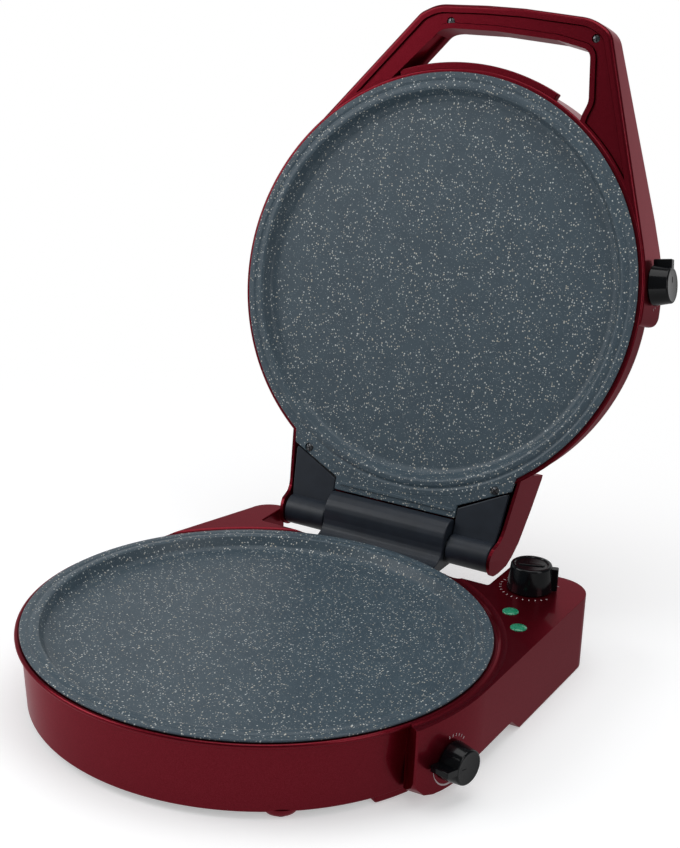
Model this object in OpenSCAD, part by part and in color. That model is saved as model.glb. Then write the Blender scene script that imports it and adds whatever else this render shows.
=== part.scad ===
// Electric pizza maker: a round cooker with a hinged lid, two coated plates, two heat
// controls, a timer and two lamps. Millimetres, +X right, +Y to the hinge, +Z up.
// The origin is on the table, under the middle of the lower plate, and the lid stands open.

/* [Plates] */
// Diameter of each cooking plate over its lip
plate_d = 320; // [290:5:350]
// Thickness of the lip
lip_t = 2.2; // [1.8:0.1:3]
// Width of the flat lip
lip_w = 6.4; // [5:0.2:8]
// Depth of the dish below the lip
dish_depth = 8.5; // [6:0.5:11]
// Width of the curved side of the dish
cove_w = 11; // [8:0.5:14]
// Thickness of the plate under the dish
plate_t = 4; // [3:0.25:5]
// Reach of the lid plate's tab beyond its lip
tab_reach = 9; // [8.2:0.1:9.2]
// Radius of the ring of the heating elements
heater_ring_r = 105; // [90:1:115]
// Diameter of the heating tube
heater_d = 6.6; // [6:0.2:8]

/* [Base housing] */
// Height of the lower plate's lip above the table
rim_z = 58; // [56:0.5:64]
// Height of the drum's bottom edge above the table
drum_z = 5.2; // [4.6:0.2:7]
// Wall of the moulded housings
wall = 2.4; // [2:0.1:2.8]
// Overhang of the rolled rim beyond the plate's lip
rim_out = 3.2; // [2.6:0.2:4]
// How much the drum draws in from its rim to its bottom edge
drum_draft = 3.5; // [1:0.25:5]
// Step from the plate's lip down to the control deck
deck_drop = 2; // [1.6:0.1:3]
// Reach of the control panel beyond the plate's lip
panel_out = 10.8; // [10:0.2:13]
// Radius of the panel's curved front end
panel_bend_r = 200; // [190:5:240]
// How far the panel runs in front of the middle
panel_front = 72; // [70:1:75]
// Height of the control box floor above the table
box_z = 12; // [11:0.5:14]
// How far the control box runs behind the plate's lip
deck_reach = 30; // [28:1:32]
// Radius of the deck's rear corner
deck_corner_r = 26; // [20:1:30]
// Room in the notch beside the right hinge arm's root
notch_side = 6.5; // [3.5:0.5:7.5]
// Room in the notch beside the left hinge arm's end
notch_room = 2.7; // [2.2:0.1:4]
// How far the notch reaches in behind the plate's lip
notch_in = 12.5; // [10:0.5:15]
// Width of the left hinge post
post_w = 19; // [17:0.5:24]

/* [Hinge] */
// Distance of the hinge axis behind the plate's lip
hinge_back = 29.5; // [29:0.25:31]
// Height of the hinge axis above the lower plate's lip
hinge_up = 1.2; // [1:0.1:1.6]
// Gap between the two lips when the lid is shut
shut_gap = 1.85; // [1.6:0.05:2.4]
// Angle of the open lid from shut
open_angle = 106.45; // [95:0.5:110]
// Diameter of the hinge pin
pin_d = 6; // [5:0.25:7]
// Running clearance between the pin and a knuckle, on the radius
pin_fit = 0.05; // [0.03:0.01:0.09]
// Half the width of the middle hinge cover
cover_half = 51; // [46:0.5:51.5]
// Radius of the hinge cover about the pin
cover_r = 19.4; // [18:0.1:19.6]
// Gap between the hinge cover and each knuckle
knuckle_gap = 1.2; // [0.8:0.1:2]
// Gap between each knuckle's outer end and the arm's end
knuckle_out = 2.8; // [2.4:0.1:4]
// Radius of the knuckle barrels
barrel_r = 11.5; // [10:0.1:12.2]
// How far the barrels sit beyond the pin
barrel_shift = 2.2; // [1.4:0.1:3]
// How far the barrels sit behind the pin
barrel_sink = 3.8; // [3:0.1:4.4]
// How far the arms' ends stand out round the barrels
cheek_rim = 1.5; // [1:0.1:1.8]

/* [Lid housing] */
// Depth of the lid housing behind its plate's lip
lid_depth = 46; // [44:0.5:50]
// How far the hinge arms' roots are set in from the plate's lip
arm_in = 62.5; // [61:0.5:64]
// How much nearer the middle the arms' ends are than their roots
arm_taper = 7.7; // [6.5:0.1:7.9]
// Reach of the arms beyond the hinge axis
arm_over = 11.5; // [10:0.5:13]
// Reach of the handle beyond the plate's lip
handle_reach = 52; // [48:0.5:58]
// Thickness of the handle at its bar
handle_t = 25; // [20:0.5:28]
// Left top corner of the handle
handle_left = 53; // [48:1:58]
// Right top corner of the handle
handle_right = 101; // [96:1:106]
// Width of the handle's bar and left leg
bar_w = 19; // [16:0.5:22]
// Height of the curved ledge in the handle's window
ledge_out = 8; // [6:0.5:9]
// How proud the lid's side panel stands of the plate's lip
side_out = 4.2; // [4:0.1:5]

/* [Controls] */
// Height of the heat knob's axis below the lower lip
heat_drop = 33.6; // [31:0.2:34.6]
// Angle of the heat knob in front of the middle
heat_angle = 13.5; // [12:0.5:15]
// Angle of the lid knob beyond the middle
lid_knob_angle = 9.8; // [8:0.2:12]
// Depth of the lid knob's axis behind the lip
lid_knob_depth = 23; // [22:0.5:25]
// Radius of the lower heat knob at the panel
knob_r = 13.4; // [11:0.2:15]
// Radius of the lid's heat knob at the panel
lid_knob_r = 15; // [12:0.2:16]
// Length of the heat knobs
knob_l = 14; // [12:0.5:20]
// Radius of the timer knob at the deck
timer_r = 16.8; // [14:0.2:18]
// Height of the timer knob
timer_h = 18.8; // [14:0.2:22]
// How far the timer knob sits in from the panel
timer_in = 39.9; // [38:0.1:42]
// How far the timer knob sits in from the deck's rear edge
timer_back = 30; // [28.5:0.5:31]
// Diameter of the lamp lenses
lamp_d = 11.6; // [9:0.2:13]
// Gap under each knob
knob_gap = 0.6; // [0.4:0.1:1]
// Diameter of the control shafts
shaft_d = 6; // [5:0.25:6.5]

/* [Hidden] */
$fn = 96;

red = [0.45, 0.05, 0.09];
black = [0.12, 0.13, 0.15];
stone = [0.33, 0.37, 0.41];
steel = [0.72, 0.73, 0.75];
e = 0.01;
fit = 0.3;

R = plate_d / 2;
deck_z = rim_z - deck_drop;
seat_z = rim_z - lip_t;
dish_under = dish_depth + plate_t;
hinge_y = R + hinge_back;
hinge_z = rim_z + hinge_up;
lid_rise = shut_gap - hinge_up;
panel_x = R + panel_out;
deck_back = R + deck_reach;
arm_root = R - arm_in;
arm_tip = arm_root - arm_taper;
knuckle_end = arm_tip - knuckle_out;
notch_right = arm_root + notch_side;
notch_left = arm_tip + notch_room;
notch_front = R - notch_in;
timer_x = panel_x - timer_in;
timer_y = deck_back - timer_back;
heat_rib_at = 173;
timer_rib_at = 20;
ear_r = 6.6;
barrel_q = -hinge_y - barrel_shift;
barrel_h = lid_rise - barrel_sink;
cover_low = R - 100;
cover_drop = 16;
bar_half = 48.5;
through = 60;
wall_r = R - 1.1;
wall_top = 5.8;
seat_r = wall_r - wall;
skirt_r = seat_r - 0.5;
dish_r = R - lip_w - 3.2 - cove_w;
rib_w = heater_d + 6;
heater_z = dish_under + heater_d / 2 + 0.6;
rib_z = heater_z + 1.2;
reflector_z = heater_z + heater_d + 3;
stud_ring_r = 62;
stud_r = 5;
screw_r = 1.8;
knuckle_in = cover_half + knuckle_gap;
tab_end = R + tab_reach;
lamp_a = [timer_x + 4.6, timer_y - 44];
lamp_b = [timer_x + 19.8, timer_y - 64.5];
knuckle_t = 3.6;
tab_t = 3.4;
screw_x = arm_root - 18.2;
screw_q = -(R - 18.2);
bracket_t = 2;
bracket_x = cover_half - 6;
bracket_z = hinge_z - 17;
handle_top = R + handle_reach;
handle_shoulder = handle_top - 11;
rebate = 5.6;
cover_t = 2.4;
front_h = -3;
handle_screw_at = [[-handle_left + 26, handle_top - 15.6], [handle_right - 11, handle_top - 16]];

// A point at a radius and an angle
function polar(r, a) = [r * cos(a), r * sin(a)];

// Points along an arc
function arc(c, r, a0, a1, n = 6) = [for (i = [0:n]) c + polar(r, a0 + (a1 - a0) * i / n)];

// The left-hand normal of a direction
function side_of(v) = [-v[1], v[0]] / norm(v);

// A closed outline drawn in by a distance, with its points in counter-clockwise order
function inset(p, d) = [for (i = [0:len(p) - 1])
    let (a = p[(i + len(p) - 1) % len(p)], b = p[i], c = p[(i + 1) % len(p)],
         m = side_of(b - a), n = side_of(c - b))
    b + (m + n) * d / (1 + m * n)];

// Where the line from a point touches a circle about the middle
function touch(p, r, turn) = polar(r, atan2(p[1], p[0]) + turn * acos(r / norm(p)));

// Outline of the control box, seen from above
panel_front_x = panel_x - panel_bend_r * (1 - cos(asin(panel_front / panel_bend_r)));
valley = polar(wall_r, -22.8);
box_outline = concat(
    [[R - 50, 0], valley - polar(4, -22.8), valley],
    arc([panel_x - panel_bend_r, 0], panel_bend_r, -asin(panel_front / panel_bend_r), 0, 8),
    arc([panel_x - deck_corner_r, deck_back - deck_corner_r], deck_corner_r, 0, 90, 8),
    [[notch_right, deck_back], [notch_right, notch_front], [40, notch_front]]);

// Outline of the left hinge post, seen from above
post_top = deck_back + 2;
post_outline = concat(
    [[-notch_left, notch_front + 10], [-notch_left, post_top]],
    arc([-notch_left - post_w + 17, post_top - 19], 19, 96, 172, 6),
    [touch([-notch_left - post_w - 3, post_top - 26], wall_r, 1), polar(R - 12, 137), [-40, notch_front - 12]]);

// Outline of the lid's side panel and handle, in the lid's plane
left_corner = [-handle_left, handle_shoulder];
right_corner = [handle_right, handle_shoulder + 1];
side_r = R + side_out;
side_touch = touch(right_corner, side_r, -1);
side_end = atan2(side_touch[1], side_touch[0]);
handle_outline = concat(
    [[R - 40, -3], [side_r * cos(1.1), -3]],
    arc([0, 0], side_r, 0, side_end, 8),
    [right_corner, right_corner + [-4, 5], right_corner + [-18, 8]],
    [[30, handle_top], [0, handle_top - 0.8], left_corner + [15, 7.5], left_corner + [7, 4.5],
     left_corner, touch(left_corner, R + rim_out, 1), polar(R - 30, 142)]);

// Outline of the handle's window, before the round of the lid is taken from it
window_outline = let (leg = bar_w - 1, run = left_corner - touch(left_corner, R + rim_out, 1),
        inward = -side_of(run))
    [left_corner + inward * leg - run * 0.72, [handle_right - 13, R - 36], [handle_right - 10, R - 19],
     [handle_right - 8, R - 10],
     [handle_right - 13, handle_top - bar_w - 7], [handle_right - 18, handle_top - bar_w - 2.5],
     [handle_right - 45, handle_top - bar_w - 1], [12, handle_top - bar_w - 0.5],
     [-20, handle_top - bar_w - 1.5],
     left_corner + inward * leg + [7.5, 1.5], left_corner + inward * leg - [1, 4]];

// Outline of the lid's hinge end, in the lid's plane
arm_start = -(R - 33);
arm_end = -(hinge_y + arm_over);
arm_outline = [[arm_root, arm_start], [-arm_root, arm_start], [-arm_root, arm_start - 3],
    [-arm_tip, arm_end + 8], [-arm_tip, arm_end - 6], [arm_tip, arm_end - 6], [arm_tip, arm_end + 8],
    [arm_root, arm_start - 3]];

// Outline of the tab of the lid plate
tab_outline = [[arm_root - wall - 1, arm_start], [-arm_root + wall + 1, arm_start],
    [-arm_root + wall + 3, -(R - 20)], [-cover_half - 0.6, -(R - 0.6)], [-cover_half - 0.6, -tab_end],
    [cover_half + 0.6, -tab_end], [cover_half + 0.6, -(R - 0.6)], [arm_root - wall - 3, -(R - 20)]];

// Stands the lid's pieces open. In the lid's plane X is across, Y points away from the
// hinge and +Z leaves the cooking face.
module in_lid() {
    translate([0, hinge_y, hinge_z])
        rotate([180 - open_angle, 0, 0])
            translate([0, hinge_y, -lid_rise])
                children();
}

// Stands a control on the lower panel, with +Z out of the panel
module on_base_panel() {
    a = -heat_angle;
    translate([0, 0, rim_z - heat_drop])
        rotate([0, 0, a])
            translate([base_panel_r, 0, 0])
                rotate([0, 90, 0])
                    rotate([0, 0, 90])
                        children();
}
base_panel_r = let (y = -panel_front * 0.57, s = y / panel_bend_r)
    norm([panel_x - panel_bend_r * (1 - sqrt(1 - s * s)), y]) + 0.4;

// Stands a control on the lid's side panel, with +Z out of the panel
module on_lid_panel() {
    in_lid()
        rotate([0, 0, lid_knob_angle])
            translate([side_r, 0, -lid_knob_depth])
                rotate([0, 90, 0])
                    rotate([0, 0, 90])
                        children();
}

// The dish that both cooking plates share, with its lip's top at zero
module dish() {
    c = lip_w + 3.2;
    rotate_extrude($fn = 128)
        polygon(concat(
            [[0, -dish_under], [skirt_r - 6, -dish_under], [skirt_r, -dish_under + 5],
             [skirt_r, -lip_t], [R, -lip_t], [R, -0.9], [R - 0.9, 0],
             [R - lip_w + 0.6, 0], [R - lip_w - 0.8, -1.5], [R - c, -1.5]],
            [for (i = [1:7]) [R - c - cove_w * sin(i * 90 / 8), -1.5 - (dish_depth - 1.5) * (1 - cos(i * 90 / 8))]],
            [[dish_r, -dish_depth], [0, -dish_depth]]));
}

// The ring rib under a plate, with its groove for the heating tube
module heater_rib() {
    rotate([0, 0, 108])
        rotate_extrude(angle = 324)
        difference() {
            translate([heater_ring_r - rib_w / 2, -rib_z])
                square([rib_w, rib_z - dish_under + 1]);
            translate([heater_ring_r, -heater_z])
                circle(d = heater_d + 0.1, $fn = 48);
            translate([heater_ring_r - heater_d / 2 - 0.05, -rib_z - 5])
                square([heater_d + 0.1, 5 + rib_z - heater_z]);
        }
}

// The posts under a plate that take its screws
module plate_posts(length) {
    for (a = [30, 150, 270])
        rotate([0, 0, a])
            translate([stud_ring_r, 0, -dish_under - length])
                difference() {
                    cylinder(r = stud_r, h = length + 1, $fn = 40);
                    translate([0, 0, -1])
                        cylinder(r = screw_r, h = 15, $fn = 32);
                }
}

// A heating tube: an open ring with two ends turned away from the plate
module heater_tube() {
    color(steel) {
        rotate([0, 0, 100])
            rotate_extrude(angle = 340)
                translate([heater_ring_r, -heater_z])
                    circle(d = heater_d, $fn = 40);
        for (a = [100, 80])
            rotate([0, 0, a])
                translate([heater_ring_r, 0, -heater_z - heater_d - 6]) {
                    cylinder(d = heater_d + 1.2, h = heater_d * 1.5 + 6.3, $fn = 40);
                    translate([0, 0, -7])
                        cylinder(r = 1.4, h = 7.5, $fn = 32);
                }
    }
}

// A bright sheet that throws the heat back at the plate
module heat_sheet() {
    t = 0.8;
    edge_r = skirt_r - 9;
    difference() {
        rotate_extrude()
            polygon([[24, -reflector_z], [edge_r - 4, -reflector_z], [edge_r, -reflector_z + 4],
                [edge_r, -dish_under - fit], [edge_r - t, -dish_under - fit], [edge_r - t, -reflector_z + 4 + t / 2],
                [edge_r - 4 - t / 2, -reflector_z + t], [24, -reflector_z + t]]);
        for (a = [30, 150, 270])
            rotate([0, 0, a])
                translate([stud_ring_r, 0, -reflector_z - 2])
                    cylinder(r = stud_r + fit, h = 6, $fn = 40);
        for (a = [100, 80])
            rotate([0, 0, a])
                translate([heater_ring_r, 0, -reflector_z - 2])
                    cylinder(d = heater_d + 2.4, h = 6, $fn = 32);
        translate([fuse_at[0], fuse_at[1], -reflector_z - 2])
            cylinder(r = 6.4, h = 6, $fn = 48);
    }
}

// A thermal cut-out clipped under a plate
fuse_at = [40, -34];
module fuse() {
    translate([fuse_at[0], fuse_at[1], -dish_under - 9.2])
        color(steel)
            union() {
                cylinder(r = 8, h = 6, $fn = 48);
                translate([0, 0, 5])
                    cylinder(r = 5, h = 4.2 - fit, $fn = 48);
                for (s = [-1, 1])
                    translate([s * 4 - 0.4, -3, -7])
                        cube([0.8, 6, 8]);
            }
}

// A thermostat behind a panel: its body, and a bush through the wall
module thermostat() {
    color(steel)
        difference() {
            union() {
                translate([-12, -8, -wall - 13.2])
                    cube([24, 16, 12]);
                translate([0, 0, -wall - 1.4])
                    cylinder(r = shaft_d / 2 + 1.8, h = wall + 1.4, $fn = 48);
            }
            translate([0, 0, -wall - 8])
                cylinder(r = shaft_d / 2 + pin_fit, h = wall + 10, $fn = 48);
        }
}

// A control shaft, from inside its switch into its knob
module control_shaft(inside, outside) {
    color(steel)
        translate([0, 0, -inside])
            cylinder(d = shaft_d, h = inside + outside, $fn = 48);
}

// A knob with a pointer rib on its side, and a blind hole for its shaft
module knob(r, length, rib_at, reach, rib_t) {
    color(black)
        difference() {
            union() {
                translate([0, 0, knob_gap])
                    cylinder(r1 = r, r2 = r * 0.885, h = length, $fn = 72);
                rotate([0, 0, rib_at])
                    translate([0, -rib_t / 2, knob_gap])
                        cube([reach, rib_t, length - 1]);
            }
            translate([0, 0, knob_gap - 1])
                cylinder(d = shaft_d + 0.04, h = length - 3, $fn = 48);
        }
}

// A pan-head screw with its head's underside at zero and a cross in its top
module screw(head_r, r, length) {
    color(steel)
        difference() {
            union() {
                cylinder(r1 = head_r, r2 = head_r * 0.7, h = head_r * 0.6, $fn = 40);
                translate([0, 0, -length])
                    cylinder(r = r, h = length + e, $fn = 32);
            }
            for (a = [0, 90])
                rotate([0, 0, a])
                    translate([-head_r * 0.5, -head_r * 0.11, head_r * 0.25])
                        cube([head_r, head_r * 0.22, head_r]);
        }
}

// The drum's wall with its rolled rim
module drum_ring() {
    rotate_extrude($fn = 128)
        polygon([[wall_r - drum_draft, drum_z], [wall_r, rim_z - wall_top],
            [R + rim_out - 1.4, rim_z - wall_top], [R + rim_out, rim_z - wall_top + 1.4],
            [R + rim_out, seat_z - 1.2], [R + rim_out - 1.2, seat_z], [seat_r, seat_z],
            [seat_r, rim_z - wall_top], [wall_r - drum_draft - wall, drum_z]]);
}

// The space inside and through the drum
module drum_space(grow = 0) {
    rotate_extrude($fn = 128)
        polygon([[0, drum_z - 10], [wall_r - drum_draft - wall + grow, drum_z - 10],
            [wall_r - drum_draft - wall + grow, drum_z], [seat_r + grow, rim_z - wall_top],
            [seat_r + grow, rim_z + 10], [0, rim_z + 10]]);
}

// A moulded foot under the drum's edge, with a socket for its pad
foot_in = 7.8;
module shell_foot(a) {
    difference() {
        rotate([0, 0, a])
            translate([wall_r - drum_draft - foot_in, 0, 0.8])
                difference() {
                    cylinder(r1 = 6.2, r2 = 8.6, h = drum_z + 1.2, $fn = 48);
                    translate([0, 0, -1])
                        cylinder(r = 4.5, h = 3, $fn = 40);
                }
        translate([0, 0, drum_z - 0.1])
            cylinder(r = wall_r - drum_draft - wall, h = 20, $fn = 128);
    }
}

foot_angle = -52.6;
skirt_from = -30;
skirt_to = -20;
rear_foot_front = 47;

module base_shell() {
    color(red) {
        difference() {
            union() {
                drum_ring();
                control_box();
                hinge_post();
                hinge_shelf();
            }
            // room for the plate's lip, then a wire way and a thermostat window through the drum's wall
            translate([0, 0, seat_z])
                cylinder(r = R + fit, h = 10, $fn = 128);
            rotate([0, 0, -heat_angle])
                translate([wall_r - 14, -14, rim_z - heat_drop - 10])
                    cube([15, 28, 20]);
            rotate([0, 0, 36])
                translate([wall_r - 14, -10, 20])
                    cube([28, 20, 18]);
        }
        shell_foot(foot_angle);
        skirt_foot();
    }
}

// The low skirt that stands under the drum beside the panel
module skirt_foot() {
    rotate([0, 0, skirt_from])
        rotate_extrude(angle = skirt_to - skirt_from)
            polygon([[wall_r - drum_draft - 10, 1], [wall_r - drum_draft - 1.4, 1],
                [wall_r - drum_draft - 0.2, 2.2], [wall_r - drum_draft - 0.2, drum_z + 1],
                [wall_r - drum_draft - wall + 0.6, drum_z + 1], [wall_r - drum_draft - wall + 0.6, drum_z - 0.1],
                [wall_r - drum_draft - 10, drum_z - 0.1]]);
}

// Cuts the control box to its stepped bottom edge, seen from the side
module box_side() {
    rotate([90, 0, 90])
        translate([0, 0, 30])
            linear_extrude(height = 200)
                polygon([[-panel_front - 20, drum_z + 20], [-panel_front, drum_z + 12],
                    [-panel_front + 4, drum_z + 5], [-panel_front + 11, drum_z + 1], [-panel_front + 22, drum_z],
                    [-32, drum_z], [-12, box_z - 0.6], [-6, box_z], [rear_foot_front, box_z],
                    [rear_foot_front + 14.5, 1], [deck_back + 20, 1], [deck_back + 20, deck_z],
                    [-panel_front - 20, deck_z]]);
}

module control_box() {
    difference() {
        intersection() {
            linear_extrude(height = deck_z)
                polygon(box_outline);
            box_side();
        }
        // the room inside, outside the drum's wall
        difference() {
            translate([0, 0, -1])
                linear_extrude(height = deck_z - wall + 1)
                    polygon(inset(box_outline, wall));
            cylinder(r = wall_r + 0.2, h = deck_z);
        }
        drum_space();
        translate([timer_x, timer_y, deck_z - 10])
            cylinder(r = shaft_d / 2 + 2, h = 20, $fn = 48);
        for (p = [lamp_a, lamp_b])
            translate([p[0], p[1], deck_z - 10])
                cylinder(d = lamp_d - 2, h = 20, $fn = 48);
        on_base_panel()
            translate([0, 0, -12])
                cylinder(r = shaft_d / 2 + 1.82, h = 20, $fn = 48);
        translate([timer_x, deck_back + 10, 27])
            rotate([90, 0, 0])
                cylinder(r = 6.6, h = 20, $fn = 48);
    }
}

module hinge_post() {
    difference() {
        translate([0, 0, 1])
            linear_extrude(height = deck_z - 1)
                polygon(post_outline);
        difference() {
            translate([0, 0, -1])
                linear_extrude(height = deck_z - wall + 1)
                    polygon(inset(post_outline, wall));
            cylinder(r = wall_r + 0.2, h = deck_z);
        }
        drum_space();
    }
}

// The shelf behind the drum that carries the hinge bracket
module hinge_shelf() {
    difference() {
        translate([-cover_half + 4, R - 25, bracket_z - 2 - wall])
            cube([2 * cover_half - 8, hinge_y - R + 32, wall + 2]);
        drum_space();
        for (s = [-1, 1])
            translate([s * 30, hinge_y - 8, bracket_z - 10])
                cylinder(r = screw_r, h = 20, $fn = 32);
    }
}

module base_floor() {
    r = wall_r - drum_draft - wall - fit;
    color(black)
        difference() {
            union() {
                translate([0, 0, drum_z])
                    cylinder(r = r, h = wall, $fn = 128);
                for (p = foot_posts)
                    translate([p[0], p[1], 1.6])
                        cylinder(r = 9, h = drum_z - 1.6 + e, $fn = 48);
            }
            for (a = [30, 150, 270])
                rotate([0, 0, a])
                    translate([stud_ring_r, 0, 0])
                        cylinder(r = screw_r + 0.3, h = 20, $fn = 32);
            for (a = [0:30:330])
                rotate([0, 0, a])
                    translate([90, -2, 0])
                        cube([34, 4, 20]);
            for (p = foot_posts)
                translate([p[0], p[1], 0])
                    cylinder(r = 7.2, h = 3, $fn = 48);
        }
}
foot_posts = [[-R * 0.62, -R * 0.5], [-R * 0.6, R * 0.52], [R * 0.3, R * 0.7]];

pad_in = 12.4;
pad_w = 9;
pad_t = 3;
pad_y = deck_back - 57;

module control_floor() {
    color(black) {
        translate([0, 0, box_z])
            linear_extrude(height = wall)
                difference() {
                    intersection() {
                        polygon(inset(box_outline, wall + fit));
                        translate([0, -4])
                            square([2 * R, deck_back]);
                    }
                    circle(r = wall_r + fit);
                }
        translate([panel_x - pad_in, pad_y, pad_t])
            cube([pad_w, 30, box_z - pad_t + e]);
    }
}

// The plate that closes the left hinge post from below
module post_floor() {
    color(black)
        translate([0, 0, pad_t])
            linear_extrude(height = wall)
                difference() {
                    intersection() {
                        polygon(inset(post_outline, wall + fit));
                        translate([-2 * R, R - 40])
                            square(2 * R);
                    }
                    circle(r = wall_r + fit);
                }
}

module rubber_feet() {
    color([0.1, 0.1, 0.1]) {
        for (p = foot_posts)
            translate([p[0], p[1], 0])
                cylinder(r = 7, h = 2.8, $fn = 48);
        rotate([0, 0, foot_angle])
            translate([wall_r - drum_draft - foot_in, 0, 0])
                cylinder(r = 4.3, h = 2.7, $fn = 40);
        translate([panel_x - pad_in, pad_y, 0])
            cube([pad_w, 30, pad_t]);
        translate([-notch_left - 13, deck_back - 26, 0])
            cube([9, 20, pad_t]);
    }
}

module floor_screws() {
    for (a = [30, 150, 270])
        rotate([0, 0, a])
            translate([stud_ring_r, 0, drum_z])
                rotate([180, 0, 0])
                    screw(3.4, screw_r - 0.1, 12);
}

module base_plate() {
    color(stone)
        translate([0, 0, rim_z]) {
            dish();
            heater_rib();
            plate_posts(rim_z - dish_under - drum_z - wall);
        }
}

module base_heater() {
    translate([0, 0, rim_z])
        heater_tube();
}

module base_reflector() {
    color(steel)
        translate([0, 0, rim_z])
            heat_sheet();
}

module base_thermal_fuse() {
    translate([0, 0, rim_z])
        fuse();
}

module base_thermostat() {
    on_base_panel()
        thermostat();
}

module base_thermostat_shaft() {
    on_base_panel()
        control_shaft(wall + 7.6, knob_l - 4);
}

module base_knob() {
    on_base_panel()
        knob(knob_r, knob_l, heat_rib_at, knob_r + 8.1, 4.4);
}

module timer_body() {
    color(steel)
        translate([timer_x, timer_y, deck_z - wall])
            difference() {
                union() {
                    translate([-19, -19, -26])
                        cube([38, 38, 26 - fit / 3]);
                    cylinder(r = shaft_d / 2 + 1.7, h = wall, $fn = 48);
                }
                translate([0, 0, -12])
                    cylinder(r = shaft_d / 2 + pin_fit, h = 20, $fn = 48);
            }
}

module timer_shaft() {
    translate([timer_x, timer_y, deck_z])
        control_shaft(wall + 11.6, timer_h - 4);
}

module timer_knob() {
    translate([timer_x, timer_y, deck_z])
        knob(timer_r, timer_h, timer_rib_at, timer_r + 2.8, 5);
}

// A lens with a low dome, its flange on the deck and its stem in the hole
module lens() {
    color([0.05, 0.45, 0.33])
        rotate_extrude($fn = 64)
            polygon([[0, -wall - 1], [lamp_d / 2 - 1.2, -wall - 1], [lamp_d / 2 - 1.2, 0], [lamp_d / 2, 0],
                [lamp_d / 2, 0.5], [lamp_d / 2 - 1, 1], [lamp_d / 4, 1.5], [0, 1.7]]);
}

module power_lamp() {
    translate([lamp_b[0], lamp_b[1], deck_z])
        lens();
}

module heat_lamp() {
    translate([lamp_a[0], lamp_a[1], deck_z])
        lens();
}

module lamp_sockets() {
    for (p = [lamp_a, lamp_b])
        translate([p[0], p[1], deck_z - wall - 15])
            color("white")
                difference() {
                    cylinder(d = lamp_d - 1, h = 14, $fn = 48);
                    translate([0, 0, 4])
                        cylinder(d = lamp_d - 4, h = 12, $fn = 48);
                }
}

module terminal_block() {
    color("white")
        translate([timer_x - 2, timer_y - 38, box_z + wall])
            difference() {
                cube([32, 16, 13]);
                for (i = [0:2])
                    translate([6 + i * 10, 8, 4])
                        cylinder(r = 2.6, h = 12, $fn = 32);
            }
}

// The bush in the rear wall where a lead would leave
module cord_gland() {
    color(black)
        translate([timer_x, deck_back - wall - 3, 27])
            rotate([-90, 0, 0])
                difference() {
                    union() {
                        cylinder(r = 6.5, h = wall + 3 + e, $fn = 48);
                        cylinder(r = 8.2, h = 2.8, $fn = 48);
                        translate([0, 0, wall + 3])
                            cylinder(r1 = 8.2, r2 = 6, h = 6, $fn = 48);
                    }
                    translate([0, 0, -5])
                        cylinder(r = 3.7, h = 30, $fn = 40);
                }
}

// The steel fork that carries the pin
module hinge_bracket() {
    color(steel) {
        translate([-bracket_x, hinge_y - 15, bracket_z])
            difference() {
                cube([2 * bracket_x, 20, bracket_t]);
                for (s = [-1, 1])
                    translate([bracket_x + s * 30, 7, -1])
                        cylinder(r = screw_r + 0.2, h = 10, $fn = 32);
            }
        for (s = [-1, 1])
            translate([s * (bracket_x - bracket_t / 2), 0, 0])
                rotate([90, 0, 90])
                    translate([0, 0, -bracket_t / 2])
                        linear_extrude(height = bracket_t)
                            difference() {
                                union() {
                                    translate([hinge_y - ear_r, bracket_z])
                                        square([2 * ear_r, hinge_z - bracket_z]);
                                    translate([hinge_y, hinge_z])
                                        circle(r = ear_r, $fn = 64);
                                }
                                translate([hinge_y, hinge_z])
                                    circle(d = pin_d + 0.04, $fn = 64);
                            }
    }
}

module hinge_bracket_screws() {
    for (s = [-1, 1])
        translate([s * 30, hinge_y - 8, bracket_z + bracket_t])
            screw(3.2, screw_r - 0.1, bracket_t + 5.2);
}

module hinge_pin() {
    color(steel)
        translate([-knuckle_end + 2, hinge_y, hinge_z])
            rotate([0, 90, 0])
                cylinder(d = pin_d, h = 2 * knuckle_end - 4, $fn = 64);
}

// The curved cover over the middle of the hinge, fixed to the base
cover_wall = 2;
cover_front = [[-hinge_back + 4.2, -10.8], [-19.5, -9.8], [-15.5, -8.4], [-12.2, -6], [-10.6, -2.8],
    [-9.8, 1], [-9.5, 4.5], [-9, 8.3], [-7.4, 12], [-4.5, 15.2], [-0.5, 18]];

// The cover's outline seen from the side, from its front foot over the top to a depth below the pin
function cover_outline(depth) = concat(cover_front, [for (a = [78:-15.5:-15]) polar(cover_r, a)],
    [[cover_r * 0.97, -depth], [-hinge_back + 4.2, -depth]]);

// The room inside the cover, open at its front and its bottom
function cover_room(depth) = let (c = inset(cover_outline(depth), -cover_wall), last = len(c) - 1)
    [for (i = [0:last]) i == 0 ? [c[0][0] - 3, -10.8 - cover_wall] : i == last ? [c[last][0] - 3, -depth] : c[i]];

module hinge_cover() {
    color(black)
        translate([0, hinge_y, hinge_z])
            rotate([90, 0, 90])
                difference() {
                    translate([0, 0, -cover_half])
                        linear_extrude(height = 2 * cover_half)
                            polygon(cover_outline(19));
                    translate([0, 0, -cover_half + cover_wall])
                        linear_extrude(height = 2 * (cover_half - cover_wall))
                            polygon(cover_room(30));
                    translate([-18, -30, -cover_half - 1])
                        cube([60, 30 - 18.4 + 1.4, 2 * cover_half + 2]);
                    translate([0, 0, -cover_half - 1])
                        cylinder(d = pin_d + 0.4, h = 2 * cover_half + 2, $fn = 48);
                }
}

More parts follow.
